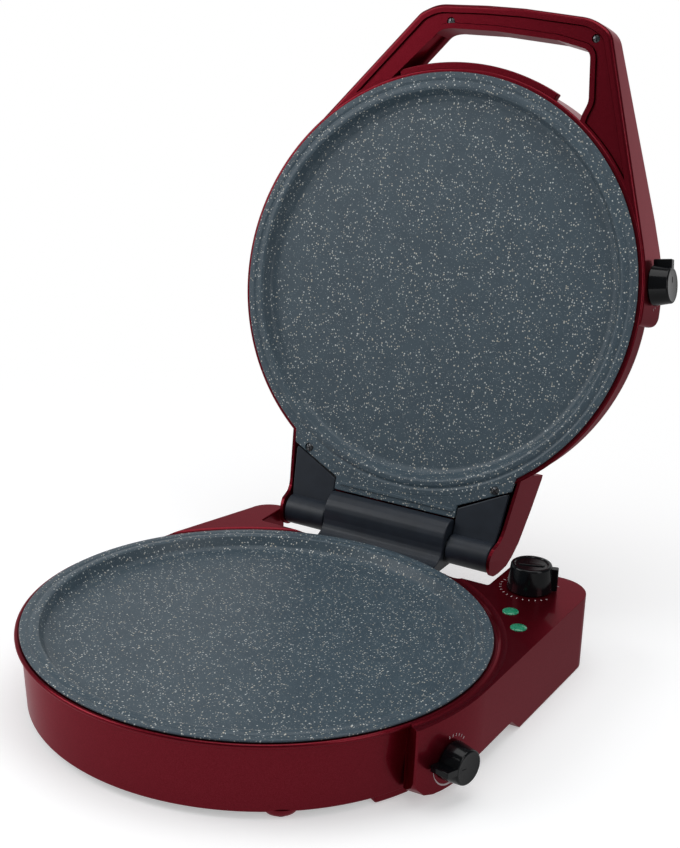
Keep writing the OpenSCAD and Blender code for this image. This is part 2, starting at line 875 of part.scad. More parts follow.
// A lid knuckle: a flat cheek that fills the arm and a barrel on the pin
module knuckle(s) {
    outline = [[knuckle_in, -(hinge_y - 4)], [arm_tip - wall - 0.8, -(hinge_y - 4)],
        [arm_root - wall - 4.6, -(R - 18.4)], [knuckle_in, -(R + 1)]];
    seat = [[screw_x - 9, screw_q - 8], [arm_root - wall - 6, screw_q - 6],
        [arm_root - wall - 6, screw_q + 5], [screw_x - 9, screw_q + 5]];
    color(black)
        in_lid()
            mirror([s < 0 ? 1 : 0, 0, 0])
                difference() {
                    union() {
                        translate([0, 0, -knuckle_t - 1])
                            linear_extrude(height = knuckle_t)
                                polygon(outline);
                        translate([0, 0, -tab_t - 5])
                            linear_extrude(height = 5 - fit)
                                difference() {
                                    polygon(seat);
                                    circle(r = skirt_r + 0.6);
                                }
                        translate([knuckle_in, barrel_q, barrel_h])
                            rotate([0, 90, 0])
                                cylinder(r = barrel_r, h = knuckle_end - knuckle_in, $fn = 72);
                    }
                    translate([knuckle_in - 1, -hinge_y, lid_rise])
                        rotate([0, 90, 0])
                            cylinder(r = pin_d / 2 + pin_fit, h = knuckle_end, $fn = 64);
                    translate([screw_x, screw_q, -20])
                        cylinder(r = screw_r + 0.3, h = 30, $fn = 32);
                }
}

module left_knuckle() {
    knuckle(-1);
}

module right_knuckle() {
    knuckle(1);
}

// Depth of the lid's back as an outline seen from the side, drawn in by a wall
module lid_side(d) {
    rotate([90, 0, 90])
        translate([0, 0, -300])
            linear_extrude(height = 600)
                polygon([[arm_end + d, front_h + 20], [arm_end + d, -18], [arm_end + 6 + d, -30 + d / 2],
                    [arm_end + 16, -37 + d], [arm_end + 46, -lid_depth + 3 + d], [arm_end + 74, -lid_depth + d],
                    [60, -lid_depth + d], [handle_top, -handle_t + d], [handle_top + 20, -handle_t + d],
                    [handle_top + 20, front_h + 20]]);
}

// The lid's round wall and back, drawn in by a wall
module lid_round(d, top) {
    b = wall_r - 3;
    rotate_extrude($fn = 128)
        polygon(concat([[0, top]],
            d > 0 ? [[seat_r, top], [seat_r, -wall_top]] : [[seat_r, top], [seat_r, -lip_t],
                [R + rim_out - 1.2, -lip_t], [R + rim_out, -lip_t - 1.2], [R + rim_out, -wall_top + 1.4],
                [R + rim_out - 1.4, -wall_top], [wall_r, -wall_top]],
            [for (i = [0:6]) [b - 12 + (12 - d) * cos(i * 15), -lid_depth + 12 - (12 - d) * sin(i * 15)]],
            [[0, -lid_depth + d]]));
}

module lid_shell() {
    color(red)
        in_lid()
            difference() {
                union() {
                    difference() {
                        lid_round(0, -lip_t);
                        lid_round(wall, 5);
                    }
                    lid_handle();
                    lid_arms();
                    window_ledge();
                    for (s = [-1, 1])
                        translate([s * screw_x, screw_q, -lid_depth + wall + 0.5])
                            cylinder(r = 4.2, h = lid_depth - wall - 0.5 - tab_t - 5 - fit, $fn = 40);
                }
                for (s = [-1, 1])
                    translate([s * screw_x, screw_q, -25])
                        cylinder(r = screw_r, h = 30, $fn = 32);
                // room for the plate's tab and for the knuckles' cheeks under it
                translate([0, 0, -tab_t - fit])
                    linear_extrude(height = 20)
                        polygon(inset(tab_outline, -fit));
                translate([0, 0, -tab_t - 5.3])
                    linear_extrude(height = 20)
                        polygon([[arm_tip - wall - 0.4, arm_end - 5], [-arm_tip + wall + 0.4, arm_end - 5],
                            [-arm_root + wall + 4, -(R - 24)], [arm_root - wall - 4, -(R - 24)]]);
                rotate([0, 0, lid_knob_angle])
                    translate([wall_r - 14, -13, -lid_knob_depth - 9])
                        cube([16.6, 26, 18]);
            }
}

// The handle and side panel, hollow behind their front
module lid_handle() {
    difference() {
        intersection() {
            translate([0, 0, -lid_depth])
                linear_extrude(height = lid_depth + front_h)
                    polygon(handle_outline);
            lid_side(0);
        }
        cylinder(r = wall_r - 1.2, h = 200, center = true);
        difference() {
            translate([0, 0, -lid_depth - 10])
                linear_extrude(height = lid_depth + 10 + front_h)
                    polygon(window_outline);
            cylinder(r = R + rim_out, h = 200, center = true);
        }
        // the room inside, clear of the window's walls
        difference() {
            intersection() {
                translate([0, 0, -lid_depth])
                    linear_extrude(height = lid_depth + 10)
                        polygon(inset(handle_outline, wall));
                lid_side(wall);
                translate([0, 0, -100])
                    cube([600, 600, 200 + 2 * (front_h - cover_t)], center = true);
            }
            cylinder(r = wall_r + wall, h = 200, center = true);
            translate([0, 0, -lid_depth - 1])
                linear_extrude(height = lid_depth + 20)
                    polygon(inset(window_outline, -wall));
            for (p = handle_screw_at)
                translate([p[0], p[1], -handle_t - 10])
                    cylinder(r = 4.4, h = 60, $fn = 40);
        }
        // the rebate for the handle's cover
        handle_plate(0, 20);
        on_panel_hole();
        for (p = handle_screw_at)
            translate([p[0], p[1], -16])
                cylinder(r = screw_r, h = through, $fn = 32);
    }
}

// The hole in the lid's side panel for the thermostat's bush
module on_panel_hole() {
    rotate([0, 0, lid_knob_angle])
        translate([side_r - 12, 0, -lid_knob_depth])
            rotate([0, 90, 0])
                cylinder(r = shaft_d / 2 + 1.82, h = 30, $fn = 48);
}

// The plate-shaped space at the handle's front, or the cover that fills it
module handle_plate(gap, extra) {
    translate([0, 0, front_h - cover_t])
        linear_extrude(height = cover_t + extra)
            difference() {
                intersection() {
                    polygon(inset(handle_outline, rebate + gap));
                    translate([-2 * R, cover_low])
                        square(4 * R);
                }
                polygon(inset(window_outline, -wall - gap));
                circle(r = R + rim_out + 1 + gap);
            }
}

// A bar through both barrels
module barrel_bar(r) {
    translate([-300, barrel_q, barrel_h])
        rotate([0, 90, 0])
            cylinder(r = r, h = 600, $fn = 72);
}

// The room between the arms' side walls at their ends
module between_arms() {
    translate([-arm_tip + wall, barrel_q - 50, barrel_h - 50])
        cube([2 * (arm_tip - wall), 100, 100]);
}

// The arms' ends, which stand out round the barrels
module arm_cheeks() {
    intersection() {
        translate([0, 0, -lid_depth])
            linear_extrude(height = lid_depth + 20)
                polygon(arm_outline);
        difference() {
            union() {
                barrel_bar(barrel_r + cheek_rim);
                rotate([90, 0, 90])
                    translate([0, 0, -300])
                        linear_extrude(height = 600)
                            polygon([[barrel_q + 22, front_h], [barrel_q + 16, front_h + 1.4],
                                [barrel_q + 11, front_h + 5.6], [barrel_q, barrel_h], [barrel_q + 14, barrel_h - 4]]);
            }
            between_arms();
        }
    }
}

// The hinge end of the lid: side walls, a back and a low end wall
module lid_arms() {
    arm_cheeks();
    difference() {
        intersection() {
            translate([0, 0, -lid_depth])
                linear_extrude(height = lid_depth + front_h)
                    polygon(arm_outline);
            lid_side(0);
        }
        cylinder(r = wall_r - 1.2, h = 200, center = true);
        intersection() {
            translate([0, 0, -lid_depth])
                linear_extrude(height = lid_depth + 10)
                    polygon(inset(arm_outline, wall));
            lid_side(wall);
        }
        // clear of the hinge cover when shut
        translate([-knuckle_in - 0.5, arm_end - 10, -24])
            cube([2 * knuckle_in + 1, 26, 40]);
        // clear of the barrels
        intersection() {
            barrel_bar(barrel_r + 0.4);
            between_arms();
        }
    }
}

// The curved ledge along the rim inside the handle's window
module window_ledge() {
    translate([0, 0, -wall_top - 6])
        rotate([0, 0, 65.8])
            rotate_extrude(angle = 46)
                translate([R, 0])
                    square([ledge_out, 6]);
}

module handle_cover() {
    color(red)
        in_lid()
            difference() {
                handle_plate(0.2, 0);
                for (p = handle_screw_at)
                    translate([p[0], p[1], -20])
                        cylinder(r = screw_r + 0.3, h = through, $fn = 32);
            }
}

module handle_screws() {
    in_lid()
        for (p = handle_screw_at)
            translate([p[0], p[1], front_h])
                screw(3, screw_r - 0.1, cover_t + 8);
}

module lid_plate() {
    color(stone)
        in_lid() {
            difference() {
                union() {
                    dish();
                    heater_rib();
                    difference() {
                        translate([0, 0, -tab_t])
                            linear_extrude(height = tab_t)
                                polygon(tab_outline);
                        cylinder(r = R - lip_w, h = 200, center = true);
                    }
                    plate_posts(lid_depth - wall - dish_under - fit);
                }
                for (s = [-1, 1])
                    translate([s * screw_x, screw_q, -20])
                        cylinder(r = screw_r + 0.3, h = 30, $fn = 32);
                translate([0.5 - bar_half, -R - 3.4, -1])
                    cube([2 * bar_half, 1.8, 5]);
            }
        }
}

module lid_plate_screws() {
    in_lid()
        for (s = [-1, 1])
            translate([s * screw_x, screw_q, 0])
                screw(3.2, screw_r - 0.1, 18);
}

module lid_heater() {
    in_lid()
        heater_tube();
}

module lid_reflector() {
    color(steel)
        in_lid()
            heat_sheet();
}

module lid_thermal_fuse() {
    in_lid()
        fuse();
}

module lid_thermostat() {
    on_lid_panel()
        thermostat();
}

module lid_thermostat_shaft() {
    on_lid_panel()
        control_shaft(wall + 7.6, knob_l - 4);
}

module lid_knob() {
    on_lid_panel()
        knob(lid_knob_r, knob_l, 0, lid_knob_r + 4, 5);
}

base_shell();
base_floor();
control_floor();
post_floor();
rubber_feet();
floor_screws();
base_plate();
base_heater();
base_reflector();
base_thermostat();
base_thermostat_shaft();
base_knob();
base_thermal_fuse();
timer_body();
timer_shaft();
timer_knob();
power_lamp();
heat_lamp();
lamp_sockets();
terminal_block();
cord_gland();
hinge_bracket();
hinge_bracket_screws();
hinge_pin();
hinge_cover();
left_knuckle();
right_knuckle();
lid_shell();
handle_cover();
handle_screws();
lid_plate();
lid_plate_screws();
lid_heater();
lid_reflector();
lid_thermostat();
lid_thermostat_shaft();
lid_knob();
lid_thermal_fuse();
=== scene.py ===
"""The looks of an electric pizza maker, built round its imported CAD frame.

Sizes in the classes are millimetres in the frame's own axes: +X to the controls, +Y to the hinge, +Z up,
with the origin on the table under the middle of the lower plate. Pieces are scaled to metres when finished.
"""

import logging
import math
from dataclasses import dataclass, field
from enum import Enum
from typing import Callable, Iterable, Optional, Sequence

import bmesh
import bpy
from mathutils import Matrix, Vector

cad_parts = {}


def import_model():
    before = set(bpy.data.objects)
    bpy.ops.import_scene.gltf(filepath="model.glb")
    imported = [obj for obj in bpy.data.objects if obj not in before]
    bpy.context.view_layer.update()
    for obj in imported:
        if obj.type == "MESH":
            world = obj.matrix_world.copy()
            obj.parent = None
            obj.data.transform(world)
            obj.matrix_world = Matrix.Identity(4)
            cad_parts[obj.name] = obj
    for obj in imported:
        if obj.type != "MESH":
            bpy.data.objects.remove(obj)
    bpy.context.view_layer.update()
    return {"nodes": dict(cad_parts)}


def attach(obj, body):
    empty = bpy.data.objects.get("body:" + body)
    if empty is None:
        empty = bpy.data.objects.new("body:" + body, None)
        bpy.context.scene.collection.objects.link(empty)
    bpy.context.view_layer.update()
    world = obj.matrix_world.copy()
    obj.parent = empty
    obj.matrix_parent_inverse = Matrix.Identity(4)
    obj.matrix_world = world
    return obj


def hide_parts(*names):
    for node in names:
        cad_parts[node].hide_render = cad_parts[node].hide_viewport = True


log = logging.getLogger("pizza_maker")

MM = 0.001
Point2 = tuple[float, float]


class Body(Enum):
    """The moving bodies of the frame."""

    BASE = "base"
    LID = "lid"
    BASE_KNOB = "base_knob"
    TIMER_KNOB = "timer_knob"
    LID_KNOB = "lid_knob"


class Slot(Enum):
    """The record's material slots."""

    RED = "housing_red"
    STONE = "plate_coating"
    BLACK = "black_plastic"
    KNOB = "knob_black"
    STEEL = "steel"
    SHEET = "bright_sheet"
    LENS = "lens_green"
    WHITE = "white_plastic"
    RUBBER = "rubber"


# Finishes


class Nodes:
    """A short hand for one material's node tree."""

    def __init__(self, name: str) -> None:
        """Starts a material with a Principled shader.

        Args:
            name: the material's name.
        """
        self.material = bpy.data.materials.new(name)
        self.material.use_nodes = True
        self.tree = self.material.node_tree
        self.shader = self.tree.nodes["Principled BSDF"]
        self.place = self.tree.nodes.new("ShaderNodeTexCoord").outputs["Object"]

    def set(self, **values: object) -> None:
        """Sets the shader's own sockets.

        Args:
            values: socket names, with underscores for spaces, and their constant values.
        """
        for key, value in values.items():
            self.shader.inputs[key.replace("_", " ")].default_value = value

    def node(self, kind: str, settings: Optional[dict] = None, **inputs: object) -> bpy.types.Node:
        """Adds a node.

        Args:
            kind: the node's type name without its prefix.
            settings: attributes of the node.
            inputs: sockets by name, with underscores for spaces, each a constant or another socket.

        Returns:
            The new node.
        """
        made = self.tree.nodes.new("ShaderNode" + kind)
        for key, value in (settings or {}).items():
            setattr(made, key, value)
        for key, value in inputs.items():
            index = int(key[1:]) if key[0] == "i" and key[1:].isdigit() else key.replace("_", " ")
            self.put(made.inputs[index], value)
        return made

    def put(self, socket: bpy.types.NodeSocket, value: object) -> None:
        """Feeds a socket with a constant or with another socket.

        Args:
            socket: the input.
            value: a constant, or an output socket to link.
        """
        if isinstance(value, bpy.types.NodeSocket):
            self.tree.links.new(value, socket)
        else:
            socket.default_value = value

    def noise(self, size_mm: float, detail: float = 2.0, roughness: float = 0.5) -> bpy.types.NodeSocket:
        """Noise whose grains are about size_mm across.

        Args:
            size_mm: the grain.
            detail: octaves.
            roughness: weight of the finer octaves.

        Returns:
            The factor socket.
        """
        made = self.node("TexNoise", Vector=self.place, Scale=1000.0 / size_mm, Detail=detail, Roughness=roughness)
        return made.outputs["Fac"]

    def ramp(self, value: bpy.types.NodeSocket, stops: Sequence[tuple[float, tuple]]) -> bpy.types.NodeSocket:
        """A colour ramp.

        Args:
            value: the factor.
            stops: pairs of place and colour.

        Returns:
            The colour socket.
        """
        made = self.node("ValToRGB", Fac=value)
        elements = made.color_ramp.elements
        while len(elements) < len(stops):
            elements.new(0.5)
        for element, (at, colour) in zip(elements, stops):
            element.position = at
            element.color = colour
        return made.outputs["Color"]

    def spread(self, value: bpy.types.NodeSocket, low: float, high: float,
               start: float = 0.0, end: float = 1.0) -> bpy.types.NodeSocket:
        """Maps a factor onto a range.

        Args:
            value: the factor.
            low: the result at start.
            high: the result at end.
            start: factor that gives low.
            end: factor that gives high.

        Returns:
            The mapped socket.
        """
        made = self.node("MapRange", Value=value, From_Min=start, From_Max=end, To_Min=low, To_Max=high)
        return made.outputs["Result"]

    def blend(self, factor: object, first: object, second: object) -> bpy.types.NodeSocket:
        """Mixes two colours.

        Args:
            factor: weight of the second colour.
            first: colour or socket.
            second: colour or socket.

        Returns:
            The mixed colour socket.
        """
        made = self.node("Mix", {"data_type": "RGBA"}, Factor=factor)
        self.put(made.inputs[6], first)
        self.put(made.inputs[7], second)
        return made.outputs[2]

    def maths(self, operation: str, first: object, second: object = 0.0) -> bpy.types.NodeSocket:
        """A Math node with the given operation on two values.

        Args:
            operation: the Math node's operation.
            first: value or socket.
            second: value or socket.

        Returns:
            The result socket.
        """
        made = self.node("Math", {"operation": operation}, i0=first, i1=second)
        return made.outputs[0]

    def bump(self, height: bpy.types.NodeSocket, depth_mm: float, strength: float = 1.0) -> None:
        """Gives the shader a bumped normal.

        Args:
            height: the height factor.
            depth_mm: height in millimetres for a factor of 1.
            strength: share of the effect.
        """
        made = self.node("Bump", Height=height, Distance=depth_mm * MM, Strength=strength)
        self.put(self.shader.inputs["Normal"], made.outputs["Normal"])


@dataclass(frozen=True)
class MetallicLacquer:
    """Deep red metal-flake lacquer under a clear coat."""

    name: str = "red_lacquer"
    body: tuple = (0.125, 0.0024, 0.0080, 1.0)
    glint: tuple = (0.38, 0.030, 0.055, 1.0)
    flake_mm: float = 0.3

    def make(self) -> bpy.types.Material:
        """Builds the material.

        Returns:
            The lacquer.
        """
        n = Nodes(self.name)
        n.set(Metallic=0.86, Specular_Tint=(0.9, 0.48, 0.52, 1.0), Specular_IOR_Level=0.3)
        n.set(Coat_Weight=0.14, Coat_Roughness=0.05, Coat_IOR=1.5)
        flakes = n.node("TexVoronoi", Vector=n.place, Scale=1000.0 / self.flake_mm)
        chance = n.node("SeparateColor", Color=flakes.outputs["Color"]).outputs[0]
        n.put(n.shader.inputs["Base Color"], n.blend(n.spread(chance, 0.0, 0.26), self.body, self.glint))
        n.put(n.shader.inputs["Roughness"], n.spread(n.noise(1.2), 0.28, 0.36))
        n.bump(n.noise(9.0, 1.0), 0.012)
        return n.material


@dataclass(frozen=True)
class StoneCoating:
    """Blue-grey non-stick coating with pale specks in two sizes."""

    name: str = "stone_coating"
    ground: tuple = (0.052, 0.080, 0.101, 1.0)
    shade: tuple = (0.045, 0.070, 0.090, 1.0)
    speck: tuple = (0.62, 0.66, 0.66, 1.0)
    cream: tuple = (0.50, 0.46, 0.37, 1.0)

    def specks(self, n: Nodes, cell_mm: float, radius_mm: float, share: float) -> tuple:
        """A layer of round specks.

        Args:
            n: the node tree.
            cell_mm: mean distance between candidates.
            radius_mm: the largest speck's radius.
            share: share of candidates that show.

        Returns:
            The mask socket and the random colour socket of each speck.
        """
        warp = n.node("TexNoise", Vector=n.place, Scale=1000.0 / 0.9, Detail=1.0).outputs["Color"]
        shifted = n.node("VectorMath", {"operation": "MULTIPLY_ADD"}, i0=warp, i1=(0.0002, 0.0002, 0.0002), i2=n.place)
        cells = n.node("TexVoronoi", Vector=shifted.outputs[0], Scale=1000.0 / cell_mm)
        chance = n.node("SeparateColor", Color=cells.outputs["Color"])
        size = n.spread(chance.outputs[0], 0.0, radius_mm / cell_mm, 1.0 - share, 1.0)
        distance = n.maths("SUBTRACT", size, cells.outputs["Distance"])
        mask = n.spread(distance, 0.0, 1.0, 0.0, 0.05)
        return mask, chance.outputs[1]

    def make(self) -> bpy.types.Material:
        """Builds the material.

        Returns:
            The coating.
        """
        n = Nodes(self.name)
        n.set(Metallic=0.0, Specular_IOR_Level=0.45)
        ground = n.blend(n.spread(n.noise(14.0, 3.0), 0.0, 1.0, 0.35, 0.65), self.shade, self.ground)
        fine, _ = self.specks(n, 1.0, 0.29, 0.8)
        coarse, tint = self.specks(n, 1.7, 0.66, 0.9)
        dusted = n.blend(n.maths("MULTIPLY", fine, 0.36), ground, self.speck)
        chalk = n.blend(tint, self.speck, self.cream)
        n.put(n.shader.inputs["Base Color"], n.blend(n.maths("MULTIPLY", coarse, 0.86), dusted, chalk))
        n.put(n.shader.inputs["Roughness"], n.spread(n.noise(2.5), 0.36, 0.48))
        n.bump(n.noise(0.9, 2.0), 0.03, 0.7)
        return n.material


@dataclass(frozen=True)
class MouldedPlastic:
    """Moulded plastic with a fine grain."""

    name: str
    colour: tuple
    roughness: float = 0.5
    grain_mm: float = 0.6
    grain_depth_mm: float = 0.02
    variation: float = 0.25
    coat: float = 0.0
    specular: float = 0.5

    def make(self) -> bpy.types.Material:
        """Builds the material.

        Returns:
            The plastic.
        """
        n = Nodes(self.name)
        n.set(Metallic=0.0, Coat_Weight=self.coat, Coat_Roughness=0.1, Specular_IOR_Level=self.specular)
        darker = tuple(c * (1.0 - self.variation) for c in self.colour[:3]) + (1.0,)
        cloud = n.spread(n.noise(11.0, 3.0), 0.0, 1.0, 0.3, 0.7)
        n.put(n.shader.inputs["Base Color"], n.blend(cloud, darker, self.colour))
        n.put(n.shader.inputs["Roughness"], n.spread(n.noise(4.0), self.roughness - 0.06, self.roughness + 0.06))
        n.bump(n.noise(self.grain_mm, 2.0), self.grain_depth_mm, 0.8)
        return n.material


@dataclass(frozen=True)
class BareMetal:
    """Bare metal with fine drawn lines."""

    name: str
    colour: tuple
    roughness: float = 0.28

    def make(self) -> bpy.types.Material:
        """Builds the material.

        Returns:
            The metal.
        """
        n = Nodes(self.name)
        n.set(Metallic=1.0)
        stretched = n.node("Mapping", Vector=n.place, Scale=(60.0, 60.0, 2500.0)).outputs[0]
        lines = n.node("TexNoise", Vector=stretched, Scale=1.0, Detail=2.0).outputs["Fac"]
        darker = tuple(c * 0.8 for c in self.colour[:3]) + (1.0,)
        n.put(n.shader.inputs["Base Color"], n.blend(n.noise(6.0, 2.0), darker, self.colour))
        n.put(n.shader.inputs["Roughness"], n.spread(lines, self.roughness - 0.08, self.roughness + 0.12))
        n.bump(lines, 0.01, 0.5)
        return n.material


@dataclass(frozen=True)
class LampLens:
    """Translucent green lens with a ribbed inside."""

    name: str = "green_lens"
    colour: tuple = (0.006, 0.17, 0.085, 1.0)
    bright: tuple = (0.02, 0.33, 0.17, 1.0)

    def make(self) -> bpy.types.Material:
        """Builds the material.

        Returns:
            The lens.
        """
        n = Nodes(self.name)
        n.set(Roughness=0.16, Transmission_Weight=0.12, IOR=1.5, Coat_Weight=0.8, Coat_Roughness=0.05)
        ribs = n.node("TexVoronoi", Vector=n.place, Scale=1000.0 / 1.6).outputs["Distance"]
        n.put(n.shader.inputs["Base Color"], n.blend(n.spread(ribs, 0.0, 0.8), self.bright, self.colour))
        n.bump(ribs, 0.05, 0.3)
        return n.material


@dataclass(frozen=True)
class PrintedMark:
    """White pad-printed ink."""

    name: str = "printed_mark"

    def make(self) -> bpy.types.Material:
        """Builds the material.

        Returns:
            The ink.
        """
        n = Nodes(self.name)
        tone = n.blend(n.noise(0.8, 1.0), (0.40, 0.30, 0.31, 1.0), (0.66, 0.56, 0.57, 1.0))
        n.put(n.shader.inputs["Base Color"], tone)
        n.put(n.shader.inputs["Roughness"], n.spread(n.noise(1.0), 0.45, 0.6))
        return n.material


@dataclass
class Finishes:
    """The finishes of the machine, made once."""

    made: dict = field(default_factory=dict)

    def __post_init__(self) -> None:
        """Builds every finish."""
        recipes = [
            MetallicLacquer(),
            StoneCoating(),
            MouldedPlastic("hinge_plastic", (0.018, 0.024, 0.034, 1.0), 0.38, 0.5, 0.015, 0.25, 0.0, 0.42),
            MouldedPlastic("knob_plastic", (0.0035, 0.004, 0.005, 1.0), 0.13, 0.8, 0.003, 0.2, 0.0, 0.28),
            MouldedPlastic("floor_plastic", (0.022, 0.023, 0.025, 1.0), 0.55, 0.7, 0.03),
            MouldedPlastic("white_plastic", (0.72, 0.71, 0.68, 1.0), 0.45, 0.8, 0.01, 0.08),
            MouldedPlastic("foot_rubber", (0.018, 0.018, 0.019, 1.0), 0.82, 0.9, 0.05),
            BareMetal("screw_steel", (0.42, 0.42, 0.43, 1.0), 0.34),
            BareMetal("dark_screw", (0.15, 0.155, 0.165, 1.0), 0.34),
            BareMetal("drawn_steel", (0.60, 0.60, 0.61, 1.0), 0.28),
            BareMetal("bright_aluminium", (0.80, 0.81, 0.83, 1.0), 0.2),
            LampLens(),
            PrintedMark(),
        ]
        for recipe in recipes:
            self.made[recipe.name] = recipe.make()

    def __getitem__(self, name: str) -> bpy.types.Material:
        """Gives a finish by name."""
        return self.made[name]


# Shapes


def arc(centre: Point2, radius: float, start: float, end: float, steps: int) -> list[Point2]:
    """Points along an arc.

    Args:
        centre: the arc's centre.
        radius: its radius.
        start: first angle in degrees.
        end: last angle in degrees.
        steps: number of stretches.

    Returns:
        The points.
    """
    angles = [math.radians(start + (end - start) * i / steps) for i in range(steps + 1)]
    return [(centre[0] + radius * math.cos(a), centre[1] + radius * math.sin(a)) for a in angles]


def polar(radius: float, degrees: float) -> Point2:
    """A point at a radius and an angle."""
    return radius * math.cos(math.radians(degrees)), radius * math.sin(math.radians(degrees))


def touch(point: Point2, radius: float, turn: int) -> Point2:
    """Where the line from a point touches a circle about the middle.

    Args:
        point: the point outside the circle.
        radius: the circle's radius.
        turn: 1 for the touch further round, -1 for the other.

    Returns:
        The touching point.
    """
    distance = math.hypot(*point)
    return polar(radius, math.degrees(math.atan2(point[1], point[0]) + turn * math.acos(radius / distance)))


def soften(outline: Sequence[tuple], steps: int = 6) -> list[Point2]:
    """Rounds the corners of a closed outline.

    Args:
        outline: points (x, y) or (x, y, corner radius).
        steps: stretches for each rounded corner.

    Returns:
        The outline with arcs at its corners.
    """
    result: list[Point2] = []
    count = len(outline)
    for i, corner in enumerate(outline):
        here = Vector(corner[:2])
        radius = corner[2] if len(corner) > 2 else 0.0
        before = Vector(outline[i - 1][:2]) - here
        after = Vector(outline[(i + 1) % count][:2]) - here
        if radius <= 0.0 or before.length < 1e-6 or after.length < 1e-6:
            result.append(tuple(here))
            continue
        angle = before.angle(after)
        if angle > math.radians(178.0):
            result.append(tuple(here))
            continue
        reach = min(radius / math.tan(angle / 2), before.length * 0.49, after.length * 0.49)
        first = here + before.normalized() * reach
        last = here + after.normalized() * reach
        for k in range(steps + 1):
            t = k / steps
            result.append(tuple(first.lerp(here, t).lerp(here.lerp(last, t), t)))
    return result


def inset(outline: Sequence[Point2], distance: float) -> list[Point2]:
    """Draws a counter-clockwise outline in by a distance.

    Args:
        outline: the points.
        distance: how far, negative to grow.

    Returns:
        The new outline.
    """
    result = []
    count = len(outline)
    for i in range(count):
        a, b, c = (Vector(outline[j % count]) for j in (i - 1, i, i + 1))
        m = Vector((-(b - a).y, (b - a).x)).normalized()
        n = Vector((-(c - b).y, (c - b).x)).normalized()
        result.append(tuple(b + (m + n) * distance / max(0.2, 1.0 + m.dot(n))))
    return result


def drawn_in(corners: Sequence[tuple], distance: float) -> list[tuple]:
    """Draws an outline with corner radii in by a distance.

    Args:
        corners: points (x, y) or (x, y, corner radius), counter-clockwise.
        distance: how far, negative to grow.

    Returns:
        The new corners.
    """
    moved = inset([c[:2] for c in corners], distance)
    return [(*p, max(0.5, c[2] - distance)) if len(c) > 2 else p for p, c in zip(moved, corners)]


def prism(outline: Sequence[Point2], low: float, high: float) -> bmesh.types.BMesh:
    """A straight solid over an outline.

    Args:
        outline: the points in order.
        low: the bottom's height.
        high: the top's height.

    Returns:
        The solid.
    """
    bm = bmesh.new()
    verts = [bm.verts.new((x, y, low)) for x, y in outline]
    face = bm.faces.new(verts)
    grown = bmesh.ops.extrude_face_region(bm, geom=[face])
    risen = [g for g in grown["geom"] if isinstance(g, bmesh.types.BMVert)]
    bmesh.ops.translate(bm, verts=risen, vec=(0, 0, high - low))
    bmesh.ops.recalc_face_normals(bm, faces=bm.faces)
    return bm


def lathe(profile: Sequence[Point2], steps: int = 192, closed: bool = True) -> bmesh.types.BMesh:
    """A turned solid about Z.

    Args:
        profile: points (radius, height) in order.
        steps: faces round the axis.
        closed: joins the last point to the first.

    Returns:
        The solid.
    """
    bm = bmesh.new()
    verts = [bm.verts.new((r, 0, z)) for r, z in profile]
    edges = [bm.edges.new(pair) for pair in zip(verts, verts[1:])]
    if closed:
        edges.append(bm.edges.new((verts[-1], verts[0])))
    bmesh.ops.spin(bm, geom=verts + edges, cent=(0, 0, 0), axis=(0, 0, 1), dvec=(0, 0, 0),
                   angle=2 * math.pi, steps=steps, use_merge=True, use_duplicate=False)
    bmesh.ops.remove_doubles(bm, verts=bm.verts, dist=1e-4)
    loose = [f for f in bm.faces if f.calc_area() < 1e-9]
    bmesh.ops.delete(bm, geom=loose, context="FACES")
    bmesh.ops.recalc_face_normals(bm, faces=bm.faces)
    return bm


def turned(bm: bmesh.types.BMesh, matrix: Matrix) -> bmesh.types.BMesh:
    """Moves a whole mesh by a matrix and hands it back."""
    bmesh.ops.transform(bm, matrix=matrix, verts=bm.verts)
    return bm


def joined(*parts: bmesh.types.BMesh) -> bmesh.types.BMesh:
    """Puts several meshes into one.

    Args:
        parts: the meshes, which are used up.

    Returns:
        One mesh with all of them.
    """
    whole = bmesh.new()
    for part in parts:
        spare = bpy.data.meshes.new("spare")
        part.to_mesh(spare)
        part.free()
        whole.from_mesh(spare)
        bpy.data.meshes.remove(spare)
    return whole


def carved(body: bmesh.types.BMesh, tool: bmesh.types.BMesh, operation: str = "DIFFERENCE") -> bmesh.types.BMesh:
    """Cuts, joins or crosses two solids with a Boolean modifier.

    Args:
        body: the solid that is kept.
        tool: the other solid.
        operation: DIFFERENCE, UNION or INTERSECT.

    Returns:
        The result.
    """
    holders = []
    for bm in (body, tool):
        mesh = bpy.data.meshes.new("carving")
        bm.to_mesh(mesh)
        bm.free()
        holders.append(bpy.data.objects.new("carving", mesh))
        bpy.context.scene.collection.objects.link(holders[-1])
    modifier = holders[0].modifiers.new("carve", "BOOLEAN")
    modifier.object = holders[1]
    modifier.operation = operation
    modifier.solver = "EXACT"
    seen = holders[0].evaluated_get(bpy.context.evaluated_depsgraph_get())
    result = bmesh.new()
    result.from_mesh(seen.to_mesh())
    seen.to_mesh_clear()
    for holder in holders:
        mesh = holder.data
        bpy.data.objects.remove(holder)
        bpy.data.meshes.remove(mesh)
    bmesh.ops.remove_doubles(result, verts=result.verts, dist=1e-3)
    bmesh.ops.dissolve_limit(result, angle_limit=math.radians(0.4), verts=result.verts, edges=result.edges)
    return result


def edge_round(bm: bmesh.types.BMesh, width: float, pick: Callable[[bmesh.types.BMEdge], bool],
               segments: int = 4) -> bmesh.types.BMesh:
    """Bevels the chosen edges.

    Args:
        bm: the mesh.
        width: the bevel's width.
        pick: says whether an edge is bevelled.
        segments: the bevel's segments.

    Returns:
        The same mesh.
    """
    edges = [e for e in bm.edges if len(e.link_faces) == 2 and pick(e)]
    bmesh.ops.bevel(bm, geom=edges, offset=width, offset_type="OFFSET", segments=segments, profile=0.5,
                    affect="EDGES", clamp_overlap=True, material=-1)
    return bm


